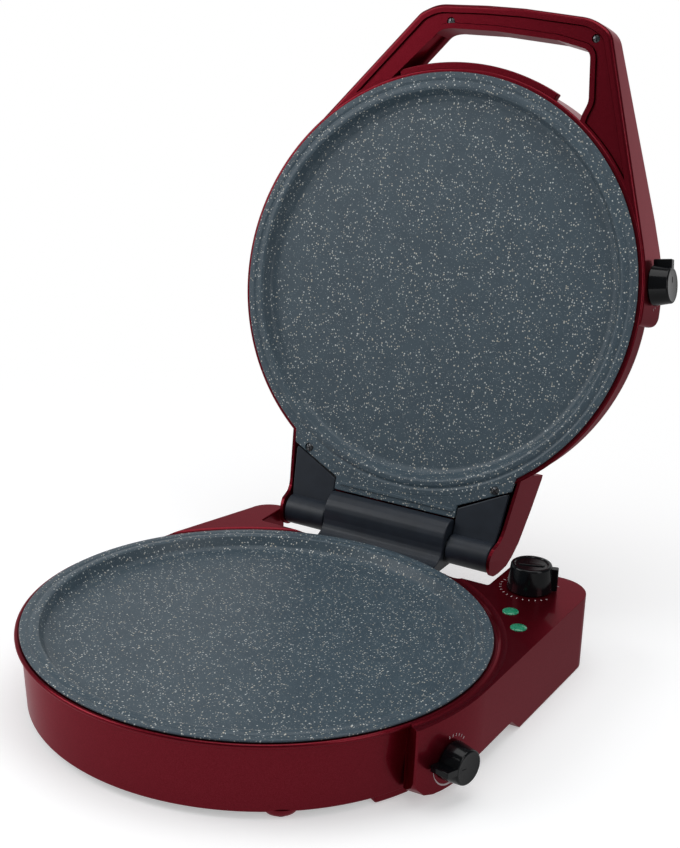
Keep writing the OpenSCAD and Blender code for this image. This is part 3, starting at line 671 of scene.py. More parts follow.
def sharp(limit: float = 35.0) -> Callable[[bmesh.types.BMEdge], bool]:
    """A test for edges that turn by more than a limit in degrees."""
    return lambda e: e.calc_face_angle(0.0) > math.radians(limit)


def flat_at(z: float, limit: float = 35.0) -> Callable[[bmesh.types.BMEdge], bool]:
    """A test for sharp edges that lie at one height.

    Args:
        z: the height.
        limit: the least turn in degrees.

    Returns:
        The test.
    """
    return lambda e: sharp(limit)(e) and all(abs(v.co.z - z) < 1e-3 for v in e.verts)


def cylinder(radius: float, low: float, high: float, steps: int = 64) -> bmesh.types.BMesh:
    """A plain round bar about Z, as a tool or a start for a piece."""
    bm = bmesh.new()
    bmesh.ops.create_cone(bm, cap_ends=True, segments=steps, radius1=radius, radius2=radius, depth=high - low)
    bmesh.ops.translate(bm, verts=bm.verts, vec=(0, 0, (low + high) / 2))
    return bm


def block(low: Sequence[float], high: Sequence[float]) -> bmesh.types.BMesh:
    """A box between two corners, as a tool or a start for a piece."""
    bm = bmesh.new()
    bmesh.ops.create_cube(bm, size=1.0)
    size = [b - a for a, b in zip(low, high)]
    middle = [(a + b) / 2 for a, b in zip(low, high)]
    bmesh.ops.scale(bm, vec=size, verts=bm.verts)
    bmesh.ops.translate(bm, vec=middle, verts=bm.verts)
    return bm


def cross_screw(place: Matrix, turn: float, radius: float = 3.0) -> bmesh.types.BMesh:
    """A screw with a pan head and a cross, with the head's rim at zero.

    Args:
        place: where it stands.
        turn: the cross's turn in degrees.
        radius: the head's radius.

    Returns:
        The screw.
    """
    head = lathe([(0.0, -9.0), (1.7, -9.0), (1.7, -0.8), (radius - 0.3, -0.8), (radius, -0.5), (radius, 0.0),
                  (radius - 0.8, 0.5), (0.0, 0.75)], 40, closed=False)
    for angle in (turn, turn + 90):
        slot = turned(block((0.3 - radius, -0.38, -0.5), (radius - 0.3, 0.38, 2.0)),
                      Matrix.Rotation(math.radians(angle), 4, "Z"))
        head = carved(head, slot)
    return turned(head, place)


@dataclass
class Workshop:
    """Turns meshes into finished pieces that ride on the frame."""

    finishes: Finishes
    nodes: dict
    count: int = 0

    def piece(self, name: str, bm: bmesh.types.BMesh, body: Body, finish: str, slot: Slot,
              stands_for: Iterable[str] = (), smooth: float = 32.0, weighted: bool = True) -> bpy.types.Object:
        """Finishes one piece.

        Args:
            name: the piece's name.
            bm: its mesh in millimetres, which is used up.
            body: the body it rides on.
            finish: the finish's name.
            slot: the record's slot; not used.
            stands_for: CAD nodes that it replaces.
            smooth: edges that turn by more than this many degrees stay sharp.
            weighted: shades by the faces' sizes, which keeps large flats flat.

        Returns:
            The object.
        """
        bmesh.ops.scale(bm, vec=(MM, MM, MM), verts=bm.verts)
        mesh = bpy.data.meshes.new(name)
        bm.to_mesh(mesh)
        bm.free()
        mesh.shade_smooth()
        mesh.set_sharp_from_angle(angle=math.radians(smooth))
        made = bpy.data.objects.new(name, mesh)
        bpy.context.scene.collection.objects.link(made)
        mesh.materials.append(self.finishes[finish])
        if weighted:
            modifier = made.modifiers.new("even_shade", "WEIGHTED_NORMAL")
            modifier.keep_sharp = True
        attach(made, body.value)
        names = list(stands_for)
        if names:
            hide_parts(*names)
        self.count += 1
        log.info("%s: %d faces, on %s", name, len(mesh.polygons), body.value)
        return made

    def dress(self, finish: str, *names: str) -> None:
        """Gives a finish to CAD nodes that stay.

        Args:
            finish: the finish's name.
            names: the nodes.
        """
        for name in names:
            node = self.nodes[name]
            for held in node.material_slots:
                held.material = self.finishes[finish]
            if not node.material_slots:
                node.data.materials.append(self.finishes[finish])
            log.info("%s: dressed in %s", name, finish)


# Places shared by the base and the lid


@dataclass(frozen=True)
class Layout:
    """The sizes that the sub-assemblies share, in millimetres."""

    plate_r: float = 160.0
    rim_z: float = 58.0
    hinge_y: float = 189.5
    hinge_z: float = 59.2
    lid_rise: float = 0.65
    open_angle: float = 106.45
    rim_out: float = 3.2
    wall_r: float = 158.9
    wall: float = 2.4

    def lid(self) -> Matrix:
        """The placement of the open lid, whose plane has Y away from the hinge and Z off the cooking face."""
        swing = Matrix.Rotation(math.radians(180.0 - self.open_angle), 4, "X")
        return (Matrix.Translation((0, self.hinge_y, self.hinge_z)) @ swing
                @ Matrix.Translation((0, self.hinge_y, -self.lid_rise)))

    def radial(self, angle: float, radius: float, height: float, middle: float = 0.0) -> Matrix:
        """A seat on a round wall, with Z out of the wall and X along it.

        Args:
            angle: degrees round from +X.
            radius: distance from the round's middle.
            height: height of the seat.
            middle: the round's middle along X.

        Returns:
            The placement.
        """
        return (Matrix.Translation((middle, 0, height)) @ Matrix.Rotation(math.radians(angle), 4, "Z")
                @ Matrix.Translation((radius, 0, 0)) @ Matrix.Rotation(math.pi / 2, 4, "Y")
                @ Matrix.Rotation(math.pi / 2, 4, "Z"))

    def across(self, outline: Sequence[Point2], half: float) -> bmesh.types.BMesh:
        """A solid that runs along X over an outline in Y and Z.

        Args:
            outline: the points (y, z).
            half: half the solid's length.

        Returns:
            The solid.
        """
        return turned(prism(outline, -half, half), Matrix(((0, 0, 1, 0), (1, 0, 0, 0), (0, 1, 0, 0), (0, 0, 0, 1))))


@dataclass
class CookingPlate:
    """A coated plate: a rolled lip, a curved side and a flat dish."""

    layout: Layout
    lip_t: float = 2.2
    depth: float = 8.5
    thickness: float = 4.0
    skirt_r: float = 153.6

    def profile(self) -> list[Point2]:
        """The plate's section from the middle out, with its lip's top at zero."""
        r = self.layout.plate_r
        top = [(0.0, -self.depth), (138.2, -self.depth)]
        top += arc((138.4, -self.depth + 7.2), 7.2, -90, -38, 6)
        top += arc((149.6, -4.0), 4.6, 128, 96, 5)
        top += [(151.2, 0.42), (152.2, 0.1), (152.9, -0.42), (153.6, -0.62), (154.4, -0.42)]
        top += arc((155.6, -0.75), 0.75, 112, 80, 3)
        top += arc((r - 1.1, -1.1), 1.1, 90, -90, 8)
        under = [(self.skirt_r, -self.lip_t), (self.skirt_r, -self.depth - self.thickness + 5),
                 (self.skirt_r - 6, -self.depth - self.thickness), (0.0, -self.depth - self.thickness)]
        return top + under

    def dish(self) -> bmesh.types.BMesh:
        """The turned plate."""
        return lathe(self.profile(), 240, closed=False)

    def rib(self, ring_r: float = 105.0, tube: float = 6.6) -> bmesh.types.BMesh:
        """The rib under the plate that holds its heating tube, as two low walls.

        Args:
            ring_r: radius of the tube's ring.
            tube: the tube's diameter.

        Returns:
            The rib.
        """
        bottom = -self.depth - self.thickness
        deep = bottom - tube - 1.2
        walls = []
        for side in (-1, 1):
            inner = ring_r + side * (tube / 2 + 0.1)
            outer = ring_r + side * (tube / 2 + 3.0)
            walls.append(lathe([(inner, bottom + 0.5), (inner, deep), (outer, deep), (outer, bottom + 0.5)], 160))
        return joined(*walls)


@dataclass
class ControlKnob:
    """A gloss black knob with a pointer rib on its side."""

    base_r: float
    face_r: float
    length: float
    rib_reach: float
    rib_w: float
    rib_at: float
    gap: float = 0.6
    timer_face: bool = False

    def body(self) -> bmesh.types.BMesh:
        """The turned knob, standing on Z."""
        z0, z1 = self.gap, self.gap + self.length
        skirt = [(3.1, z0), (self.base_r - 0.5, z0), (self.base_r, z0 + 0.5)]
        side = [(self.base_r + (self.face_r - self.base_r) * t, z0 + 0.5 + (self.length - 2.1) * t)
                for t in (0.33, 0.66, 1.0)]
        round_edge = arc((self.face_r - 1.5, z1 - 1.5), 1.5, 4, 86, 6)
        if self.timer_face:
            face = [(self.face_r - 2.6, z1), (self.face_r - 3.3, z1 - 0.7), (self.face_r - 4.2, z1 - 0.85),
                    (0.0, z1 - 0.85)]
        else:
            face = [(self.face_r - 2.2, z1), (self.face_r - 2.6, z1 - 0.22), (0.0, z1 - 0.3)]
        hollow = [(0.0, z1 - 3.0), (3.1, z1 - 3.0)]
        return lathe(skirt + side + round_edge + face + hollow, 96)

    def rib(self) -> bmesh.types.BMesh:
        """The pointer rib, from inside the knob to its reach."""
        top = self.gap + self.length - (0.2 if not self.timer_face else 2.2)
        bar = block((self.face_r * 0.55, -self.rib_w / 2, self.gap), (self.rib_reach, self.rib_w / 2, top))
        edge_round(bar, 0.9, lambda e: sharp()(e) and min(v.co.x for v in e.verts) > self.face_r * 0.6, 4)
        return turned(bar, Matrix.Rotation(math.radians(self.rib_at), 4, "Z"))

    def crest(self) -> bmesh.types.BMesh:
        """The small raised bar on the face."""
        z1 = self.gap + self.length
        if self.timer_face:
            bar = prism(soften([(-9.4, -2.6, 2.2), (9.4, -2.6, 2.2), (9.4, 2.6, 2.2), (-9.4, 2.6, 2.2)]),
                        z1 - 1.6, z1 - 0.1)
            edge_round(bar, 0.5, flat_at(z1 - 0.1), 3)
        else:
            bar = prism(soften([(2.0, -0.35, 0.3), (6.2, -0.35, 0.3), (6.2, 0.35, 0.3), (2.0, 0.35, 0.3)]),
                        z1 - 1.0, z1 - 0.02)
        return turned(bar, Matrix.Rotation(math.radians(self.rib_at), 4, "Z"))

    def make(self, place: Matrix) -> bmesh.types.BMesh:
        """The whole knob at a place.

        Args:
            place: where the knob stands.

        Returns:
            The mesh.
        """
        return turned(joined(self.body(), self.rib(), self.crest()), place)


@dataclass
class BaseHousing:
    """The red base: drum, control box, hinge post and feet."""

    shop: Workshop
    layout: Layout
    panel_x: float = 170.8
    bend_r: float = 200.0
    panel_front: float = 72.0
    deck_z: float = 56.0
    deck_back: float = 190.0
    corner_r: float = 26.0
    notch_right: float = 104.0
    notch_left: float = 92.5
    notch_front: float = 147.5
    post_w: float = 19.0
    drum_z: float = 5.2
    draft: float = 3.5
    box_z: float = 12.0
    seat_z: float = 55.8

    def drum(self) -> bmesh.types.BMesh:
        """The drum's wall with its rolled rim."""
        r, w = self.layout.wall_r, self.layout.wall
        rim = self.layout.plate_r + self.layout.rim_out
        low = r - self.draft
        profile = [(low - w, self.drum_z), (low - 1.6, self.drum_z - 0.0)]
        profile += arc((low - 1.5, self.drum_z + 1.5), 1.5, -80, -2, 6)
        profile += [(low + (r - low) * t, self.drum_z + 1.5 + (50.6 - self.drum_z - 1.5) * t) for t in (0.25, 0.5, 0.75)]
        profile += [(r, 50.6), (r + 0.1, 51.6), (r + 0.5, 52.3), (r + 1.4, 52.75)]
        profile += arc((rim - 1.7, 54.5), 1.7, -90, 90, 12)
        profile += [(rim - 2.4, 55.9), (rim - 2.75, self.seat_z - 0.6), (157.2, self.seat_z - 0.6),
                    (157.2, self.seat_z - 4.0), (r - w, 50.0)]
        return lathe(profile, 256)

    def front_x(self, y: float) -> float:
        """The panel's x at a y in front of the middle."""
        if y >= 0:
            return self.panel_x
        return self.panel_x - self.bend_r * (1 - math.sqrt(1 - (y / self.bend_r) ** 2))

    def box_outline(self, shrink: float = 0.0) -> list[Point2]:
        """The control box seen from above.

        Args:
            shrink: how far the outline is drawn in.

        Returns:
            The outline.
        """
        lip = self.layout
        valley = polar(lip.wall_r, -22.8)
        sweep = math.degrees(math.asin(self.panel_front / self.bend_r))
        front = arc((self.panel_x - self.bend_r, 0), self.bend_r, -sweep, 0, 16)
        corner = arc((self.panel_x - self.corner_r, self.deck_back - self.corner_r), self.corner_r, 0, 90, 14)
        points: list[tuple] = [(110.0, 0.0), (*polar(lip.wall_r - 6, -22.8),), (*valley, 1.2)]
        points += [(*front[0], 4.2)] + front[1:]
        points += corner
        points += [(self.notch_right, self.deck_back, 2.0), (self.notch_right, self.notch_front, 2.5),
                   (40.0, self.notch_front)]
        rounded = soften(points, 7)
        return inset(rounded, shrink) if shrink else rounded

    def side_profile(self) -> bmesh.types.BMesh:
        """The box's side silhouette as a solid to cross the box with."""
        front, low, box = self.panel_front, self.drum_z, self.box_z
        points = [(-front - 20, low + 20), (-front - 0.5, low + 17), (-front + 3, low + 9), (-front + 9, low + 3),
                  (-front + 17, low + 0.6), (-front + 26, low), (-34, low), (-20, box - 3.4), (-12, box - 0.9),
                  (-5, box), (47, box), (61.5, 1.0), (self.deck_back + 20, 1.0), (self.deck_back + 20, 80.0),
                  (-front - 20, 80.0)]
        solid = prism(points, 20.0, 240.0)
        return turned(solid, Matrix(((0, 0, 1, 0), (1, 0, 0, 0), (0, 1, 0, 0), (0, 0, 0, 1))))

    def plate_room(self) -> bmesh.types.BMesh:
        """The round room for the drum and the plate."""
        return lathe([(0, -10), (157.6, -10), (157.6, 54.9), (161.4, 54.9), (161.4, 90), (0, 90)], 256, closed=False)

    def rim_valley(self) -> bmesh.types.BMesh:
        """A ring that hollows the deck gently round the rolled rim."""
        return lathe(arc((166.0, 59.6), 4.8, 0, 360, 24)[:-1], 256)

    def control_box(self) -> bmesh.types.BMesh:
        """The box that carries the controls."""
        solid = prism(self.box_outline(), -5.0, self.deck_z)
        edge_round(solid, 1.9, lambda e: flat_at(self.deck_z)(e) and self.is_outer(e), 5)
        solid = carved(solid, self.side_profile(), "INTERSECT")
        cavity = prism(self.box_outline(self.layout.wall), -6.0, 30.0)
        cavity = carved(cavity, cylinder(159.4, -8, 40, 192))
        solid = carved(solid, cavity)
        solid = carved(solid, self.plate_room())
        return carved(solid, self.rim_valley())

    def is_outer(self, edge: bmesh.types.BMEdge) -> bool:
        """Says whether an edge lies on the outside of the box's outline."""
        return min(math.hypot(v.co.x, v.co.y) for v in edge.verts) > 157.5

    def post(self) -> bmesh.types.BMesh:
        """The left hinge post."""
        left, top, w = self.notch_left, self.deck_back + 2, self.post_w
        bend = arc((-left - w + 17, top - 19), 19, 96, 172, 12)
        lean = touch((-left - w - 3, top - 26), self.layout.wall_r, 1)
        points: list[tuple] = [(-left, self.notch_front + 10, 1.5), (-left, top, 2.0)] + bend
        points += [lean, polar(148, 137), (-40, self.notch_front - 12), (-40, self.notch_front + 10)]
        outline = soften(points, 6)
        solid = prism(outline, 1.0, self.deck_z)
        edge_round(solid, 1.9, lambda e: flat_at(self.deck_z)(e) and self.is_outer(e), 5)
        cavity = carved(prism(inset(outline, self.layout.wall), -6.0, 30.0), cylinder(159.4, -8, 40, 192))
        solid = carved(solid, cavity)
        solid = carved(solid, self.plate_room())
        return carved(solid, self.rim_valley())

    def foot(self, angle: float, inward: float = 7.8) -> bmesh.types.BMesh:
        """A moulded foot under the drum's edge.

        Args:
            angle: its place round the drum in degrees.
            inward: its centre's distance inside the drum's lower edge.

        Returns:
            The foot.
        """
        r = self.layout.wall_r - self.draft - inward
        section = [(0.0, 0.9), (4.6, 0.9), (5.5, 1.0), (6.2, 1.6), (7.1, 3.0), (8.1, 4.8), (8.6, 6.6), (0.0, 6.6)]
        cup = lathe(section, 48, closed=False)
        bmesh.ops.scale(cup, vec=(1.0, 1.45, 1.0), verts=cup.verts)
        return turned(cup, Matrix.Rotation(math.radians(angle), 4, "Z") @ Matrix.Translation((r, 0, 0)))

    def skirt(self) -> bmesh.types.BMesh:
        """The low skirt under the drum beside the panel."""
        low = self.layout.wall_r - self.draft
        outer = arc((0, 0), low - 0.2, -30, -20, 14)
        inner = arc((0, 0), low - 10, -20, -30, 14)
        solid = prism(soften([(*p, 0.0) for p in outer] + [(*p, 0.0) for p in inner]), 1.0, self.drum_z + 0.8)
        return edge_round(solid, 1.6, lambda e: flat_at(1.0)(e) or (sharp(60)(e) and
                          abs(e.verts[0].co.z - e.verts[1].co.z) > 2), 4)

    def shelf(self) -> bmesh.types.BMesh:
        """The shelf under the hinge."""
        solid = block((-47, 135, 37.8), (47, 192, 42.0))
        edge_round(solid, 0.8, sharp(), 2)
        return carved(solid, cylinder(155.0, 0, 80, 192))

    def make(self) -> None:
        """Builds the base housing's pieces."""
        red, slot = "red_lacquer", Slot.RED
        self.shop.piece("drum_wall", self.drum(), Body.BASE, red, slot, ["base_shell"])
        self.shop.piece("control_box", self.control_box(), Body.BASE, red, slot)
        self.shop.piece("hinge_post", self.post(), Body.BASE, red, slot)
        self.shop.piece("hinge_shelf", self.shelf(), Body.BASE, red, slot)
        self.shop.piece("front_foot", self.foot(-52.6), Body.BASE, red, slot)
        self.shop.piece("side_skirt", self.skirt(), Body.BASE, red, slot)


@dataclass
class BaseTop:
    """The lower plate, the lamps, the timer and the heat knob."""

    shop: Workshop
    layout: Layout
    housing: BaseHousing
    timer: Point2 = (130.9, 160.0)
    lamp_r: float = 5.8

    def lens(self, at: Point2) -> bmesh.types.BMesh:
        """A lamp's lens with a low dome.

        Args:
            at: its place on the deck.

        Returns:
            The lens.
        """
        z = self.housing.deck_z
        section = [(0.0, z - 3.0), (4.5, z - 3.0), (4.5, z), (self.lamp_r, z), (self.lamp_r, z + 0.35)]
        section += [(self.lamp_r * math.cos(math.radians(a)), z + 0.35 + 1.15 * math.sin(math.radians(a)))
                    for a in (12, 25, 38, 51, 64, 77)]
        section += [(0.0, z + 1.5)]
        return turned(lathe(section, 64, closed=False), Matrix.Translation((*at, 0)))

    def make(self) -> None:
        """Builds the pieces on top of the base."""
        plate = CookingPlate(self.layout)
        whole = joined(plate.dish(), plate.rib())
        lift = Matrix.Translation((0, 0, self.layout.rim_z))
        self.shop.piece("lower_plate", turned(whole, lift), Body.BASE, "stone_coating", Slot.STONE, ["base_plate"])
        lamp = (self.timer[0] + 4.6, self.timer[1] - 44)
        power = (self.timer[0] + 19.8, self.timer[1] - 64.5)
        self.shop.piece("heat_lens", self.lens(lamp), Body.BASE, "green_lens", Slot.LENS, ["heat_lamp"])
        self.shop.piece("power_lens", self.lens(power), Body.BASE, "green_lens", Slot.LENS, ["power_lamp"])
        knob = ControlKnob(16.8, 14.9, 18.8, 19.6, 5.0, 20.0, timer_face=True)
        place = Matrix.Translation((*self.timer, self.housing.deck_z))
        self.shop.piece("timer_dial", knob.make(place), Body.TIMER_KNOB, "knob_plastic", Slot.KNOB, ["timer_knob"])
        y = -self.housing.panel_front * 0.57
        radius = math.hypot(self.housing.front_x(y), y) + 0.4
        heat = ControlKnob(13.4, 11.9, 14.0, 21.5, 4.4, 173.0)
        seat = self.layout.radial(-13.5, radius, self.layout.rim_z - 33.6)
        self.shop.piece("heat_dial", heat.make(seat), Body.BASE_KNOB, "knob_plastic", Slot.KNOB, ["base_knob"])


@dataclass
class Marks:
    """Plain tick marks round the three dials."""

    shop: Workshop
    layout: Layout
    housing: BaseHousing
    timer: Point2 = (130.9, 160.0)
    heat_y: float = -40.1
    heat_drop: float = 33.6
    lid_angle: float = 9.8
    lid_side_r: float = 164.2
    lid_drop: float = 23.0

    def dash(self, seat: Matrix, angle: float, length: float, width: float) -> bmesh.types.BMesh:
        """One thin printed dash.

        Args:
            seat: its place, with Z out of the surface.
            angle: its turn in degrees.
            length: its length along the radius.
            width: its width.

        Returns:
            The dash.
        """
        bar = block((-length / 2, -width / 2, 0.02), (length / 2, width / 2, 0.09))
        return turned(bar, seat @ Matrix.Rotation(math.radians(angle), 4, "Z"))

    def on_base(self, u: float, v: float) -> Matrix:
        """A seat on the lower panel at offsets from its knob's axis."""
        bend = self.housing.bend_r
        angle = math.degrees(math.asin(self.heat_y / bend) + u / bend)
        return self.layout.radial(angle, bend, self.layout.rim_z - self.heat_drop + v, self.housing.panel_x - bend)

    def on_deck(self, u: float, v: float) -> Matrix:
        """A seat on the deck at offsets from the timer's axis."""
        return Matrix.Translation((self.timer[0] + u, self.timer[1] + v, self.housing.deck_z))

    def on_lid(self, u: float, v: float) -> Matrix:
        """A seat on the lid's side panel at offsets from its knob's axis."""
        angle = self.lid_angle + math.degrees(u / self.lid_side_r)
        return self.layout.lid() @ self.layout.radial(angle, self.lid_side_r, -self.lid_drop + v)

    def ring(self, seat: Callable[[float, float], Matrix], radius: float, angles: Iterable[float],
             size: Callable[[float], Point2]) -> list[bmesh.types.BMesh]:
        """A ring of dashes.

        Args:
            seat: gives the place for offsets from the dial's axis.
            radius: the ring's radius.
            angles: the dashes' angles in degrees.
            size: gives a dash's length and width for its angle.

        Returns:
            The dashes.
        """
        return [self.dash(seat(*polar(radius, a)), a, *size(a)) for a in angles]

    def make(self) -> None:
        """Prints the marks."""
        base = self.ring(self.on_base, 16.6, range(38, 99, 12), lambda a: (1.9, 0.5))
        base += self.ring(self.on_base, 16.6, range(192, 301, 3), lambda a: (0.3 + 0.016 * (a - 192), 1.0))
        self.shop.piece("base_marks", joined(*base), Body.BASE, "printed_mark", Slot.WHITE, weighted=False)
        deck = self.ring(self.on_deck, 21.2, range(40, 340, 12), lambda a: (1.6, 0.6))
        self.shop.piece("timer_marks", joined(*deck), Body.BASE, "printed_mark", Slot.WHITE, weighted=False)
        lid = self.ring(self.on_lid, 18.2, range(196, 257, 12), lambda a: (1.9, 0.5))
        lid += self.ring(self.on_lid, 18.2, range(268, 344, 3), lambda a: (0.3 + 0.016 * (a - 268), 1.0))
        self.shop.piece("lid_marks", joined(*lid), Body.LID, "printed_mark", Slot.WHITE, weighted=False)


@dataclass
class LidHousing:
    """The red lid: round back, handle with its window, side panel and hinge arms."""

    shop: Workshop
    layout: Layout
    depth: float = 46.0
    side_out: float = 4.2
    handle_reach: float = 52.0
    handle_t: float = 25.0
    handle_left: float = 53.0
    handle_right: float = 101.0
    bar_w: float = 19.0
    ledge_out: float = 8.0
    arm_root: float = 97.5
    arm_tip: float = 89.8
    arm_over: float = 11.5
    front_h: float = -3.0
    barrel: Point2 = (-191.7, -3.15)
    cheek_r: float = 13.0
    screws: tuple = ((-27.0, 196.4), (90.0, 196.0))

    def round_back(self) -> bmesh.types.BMesh:
        """The round wall, its rolled rim and the back."""
        r, w = self.layout.wall_r, self.layout.wall
        rim = self.layout.plate_r + self.layout.rim_out
        profile = [(157.2, -2.4), (rim - 2.6, -2.4)]
        profile += arc((rim - 1.5, -3.9), 1.5, 90, -90, 10)
        profile += [(r + 0.5, -5.9), (r, -6.6), (r - 0.3, -14), (r - 0.8, -24)]
        profile += arc((r - 14.8, -self.depth + 13.8), 13.8, 0, -90, 14)
        profile += [(90, -self.depth - 0.0), (0, -self.depth)]
        profile += [(0, -self.depth + w), (140, -self.depth + w)]
        profile += arc((r - 14.8, -self.depth + 13.8), 13.8 - w, -90, 0, 8)
        profile += [(157.2 - w, -8)]
        return lathe(profile, 256)

    def handle_outline(self) -> list[tuple]:
        """The side panel and handle in the lid's plane, with corner radii."""
        r = self.layout.plate_r
        side_r = r + self.side_out
        top = r + self.handle_reach
        left = (-self.handle_left, top - 11)
        right = (self.handle_right, top - 10)
        reach = touch(right, side_r, -1)
        end = math.degrees(math.atan2(reach[1], reach[0]))
        points: list[tuple] = [(120.0, -3.0), (side_r * math.cos(math.radians(1.1)), -3.0, 5.0)]
        points += arc((0, 0), side_r, 2.0, end, 18)
        points += [(*right, 17.0), (right[0] - 16, right[1] + 8.4, 45.0), (30.0, top, 60.0), (0.0, top - 0.8, 60.0),
                   (left[0] + 13, left[1] + 7.5, 34.0), (*left, 16.0), touch(left, r + self.layout.rim_out, 1),
                   polar(130, 142)]
        return points

    def window_outline(self) -> list[tuple]:
        """The handle's window before the round of the lid is taken from it, with corner radii."""
        r = self.layout.plate_r
        top = r + self.handle_reach
        left = Vector((-self.handle_left, top - 11))
        foot = Vector(touch(tuple(left), r + self.layout.rim_out, 1))
        run = (left - foot).normalized()
        inward = Vector((run.y, -run.x))
        leg = self.bar_w - 1
        low = left + inward * leg - (left - foot) * 0.72
        corner = left + inward * leg + Vector((5.0, -1.0))
        return [(low.x, low.y), (88.0, r - 36), (91.0, r - 19, 3.0), (94.0, r - 10, 14.0),
                (self.handle_right - 13, top - self.bar_w - 6.0, 9.0), (self.handle_right - 40, top - self.bar_w - 1.6, 20.0),
                (12.0, top - self.bar_w - 0.2, 40.0), (corner.x + 8, top - self.bar_w - 1.8, 30.0),
                (corner.x, corner.y, 14.0)]

    def side_cut(self) -> bmesh.types.BMesh:
        """The lid's depth seen from the side, as a solid to cross its pieces with."""
        end = -(self.layout.hinge_y + self.arm_over)
        top = self.layout.plate_r + self.handle_reach
        depth = self.depth
        points = [(end, 20.0), (end, -18), (end + 3, -26), (end + 9, -33), (end + 20, -38.5), (end + 46, -depth + 3),
                  (end + 74, -depth), (40, -depth), (74, -depth + 1.2), (top, -self.handle_t),
                  (top + 20, -self.handle_t + 1), (top + 20, 20.0)]
        solid = prism(points, -300.0, 300.0)
        return turned(solid, Matrix(((0, 0, 1, 0), (1, 0, 0, 0), (0, 1, 0, 0), (0, 0, 0, 1))))

    def round_room(self, radius: float) -> bmesh.types.BMesh:
        """A round bar through the lid's middle, as a tool."""
        return cylinder(radius, -120, 60, 256)

    def handle(self) -> bmesh.types.BMesh:
        """The handle and side panel."""
        outline = soften(self.handle_outline(), 8)
        solid = prism(outline, -70.0, self.front_h)
        solid = edge_round(solid, 4.6, lambda e: flat_at(self.front_h)(e), 7)
        solid = carved(solid, self.side_cut(), "INTERSECT")
        edge_round(solid, 3.0, self.back_edges, 5)
        window = carved(prism(soften(self.window_outline(), 8), -90.0, 20.0), self.round_room(163.2))
        solid = carved(solid, window)
        edge_round(solid, 2.4, self.window_edges, 5)
        solid = carved(solid, self.end_round())
        return carved(solid, self.round_room(157.4))

    def end_round(self, radius: float = 16.0) -> bmesh.types.BMesh:
        """The corner that is taken off the side panel's lower rear end.

        Args:
            radius: the corner's radius.

        Returns:
            The tool.
        """
        low, back = -3.0, -self.depth
        outline = [(low - 2, back - 2), (low - 2, back + radius)]
        outline += arc((low + radius, back + radius), radius, 180, 270, 12) + [(low + radius, back - 2)]
        tool = self.layout.across(outline, 15.0)
        return turned(tool, Matrix.Translation((172.0, 0, 0)))

    def back_edges(self, edge: bmesh.types.BMEdge) -> bool:
        """Says whether an edge bounds the lid's back."""
        if not sharp(30)(edge):
            return False
        return all(v.co.z < self.front_h - 12 for v in edge.verts) and max(f.normal.z for f in edge.link_faces) < 0.4 \
            and min(f.normal.z for f in edge.link_faces) < -0.6

    def window_edges(self, edge: bmesh.types.BMEdge) -> bool:
        """Says whether an edge bounds the handle's window at its front or back."""
        if not sharp(40)(edge):
            return False
        inside = all(-100 < v.co.x < 95 and math.hypot(v.co.x, v.co.y) > 164.5 for v in edge.verts)
        return inside and abs(edge.verts[0].co.z - edge.verts[1].co.z) < 6

    def arm_side(self) -> bmesh.types.BMesh:
        """The arms seen from the side: a curved front edge, a round end beside the barrels and the sloping back."""
        q, h = self.barrel
        back = -self.depth
        points = arc((q, h), self.cheek_r, 52, 194, 18)
        points += [(-203.2, -11.5), (-201.0, -18.0), (-198.0, -26.0), (-192.0, -33.0), (-181.0, -38.5),
                   (-155.0, back + 3), (-127.0, back), (-100.0, back), (-100.0, self.front_h)]
        points += [(q + 22, self.front_h), (q + 17, self.front_h + 0.7), (q + 13, self.front_h + 3.0),
                   (q + 10.2, self.front_h + 6.6)]
        return self.layout.across(soften([(*p, 3.0) for p in points], 4), 300.0)

    def arms(self) -> bmesh.types.BMesh:
        """The two hinge arms with the low back between them."""
        start = -(self.layout.plate_r - 33)
        end = -(self.layout.hinge_y + self.arm_over)
        root, tip = self.arm_root, self.arm_tip
        q, h = self.barrel
        outline = [(root, start), (-root, start), (-root, start - 3, 4.0), (-tip, end + 8, 6.0), (-tip, end - 6),
                   (tip, end - 6), (tip, end + 8, 6.0), (root, start - 3, 4.0)]
        solid = carved(prism(soften(outline, 6), -70.0, 30.0), self.arm_side(), "INTERSECT")
        edge_round(solid, 1.15, self.outer_edges, 4)
        w = self.layout.wall
        room = prism(inset([p[:2] for p in outline], w), -90.0, 40.0)
        room = carved(room, turned(self.side_cut(), Matrix.Translation((0, w, w))), "INTERSECT")
        solid = carved(solid, room)
        solid = carved(solid, block((w - tip, end - 20, -60), (tip - w, end, 40)))
        solid = carved(solid, block((w - tip, end - 20, self.front_h), (tip - w, end + 30, 40)))
        solid = carved(solid, self.round_room(157.4))
        solid = carved(solid, block((-52.7, end - 10, -24), (52.7, end + 16, 16)))
        barrel = turned(cylinder(11.9, w - tip, tip - w, 96),
                        Matrix.Translation((0, q, h)) @ Matrix.Rotation(math.pi / 2, 4, "Y"))
        return carved(solid, barrel)

    def outer_edges(self, edge: bmesh.types.BMEdge) -> bool:
        """Says whether an edge bounds one of the arms' outer sides."""
        return sharp(40)(edge) and all(abs(v.co.x) > 86 and v.co.y < -130 for v in edge.verts)

    def ledge(self) -> bmesh.types.BMesh:
        """The curved ledge along the rim inside the window."""
        r = self.layout.plate_r
        outline = arc((0, 0), r + self.ledge_out, 65.8, 111.8, 40) + arc((0, 0), r - 1, 111.8, 65.8, 40)
        solid = prism(outline, -11.8, -4.6)
        return edge_round(solid, 0.9, sharp(40), 3)

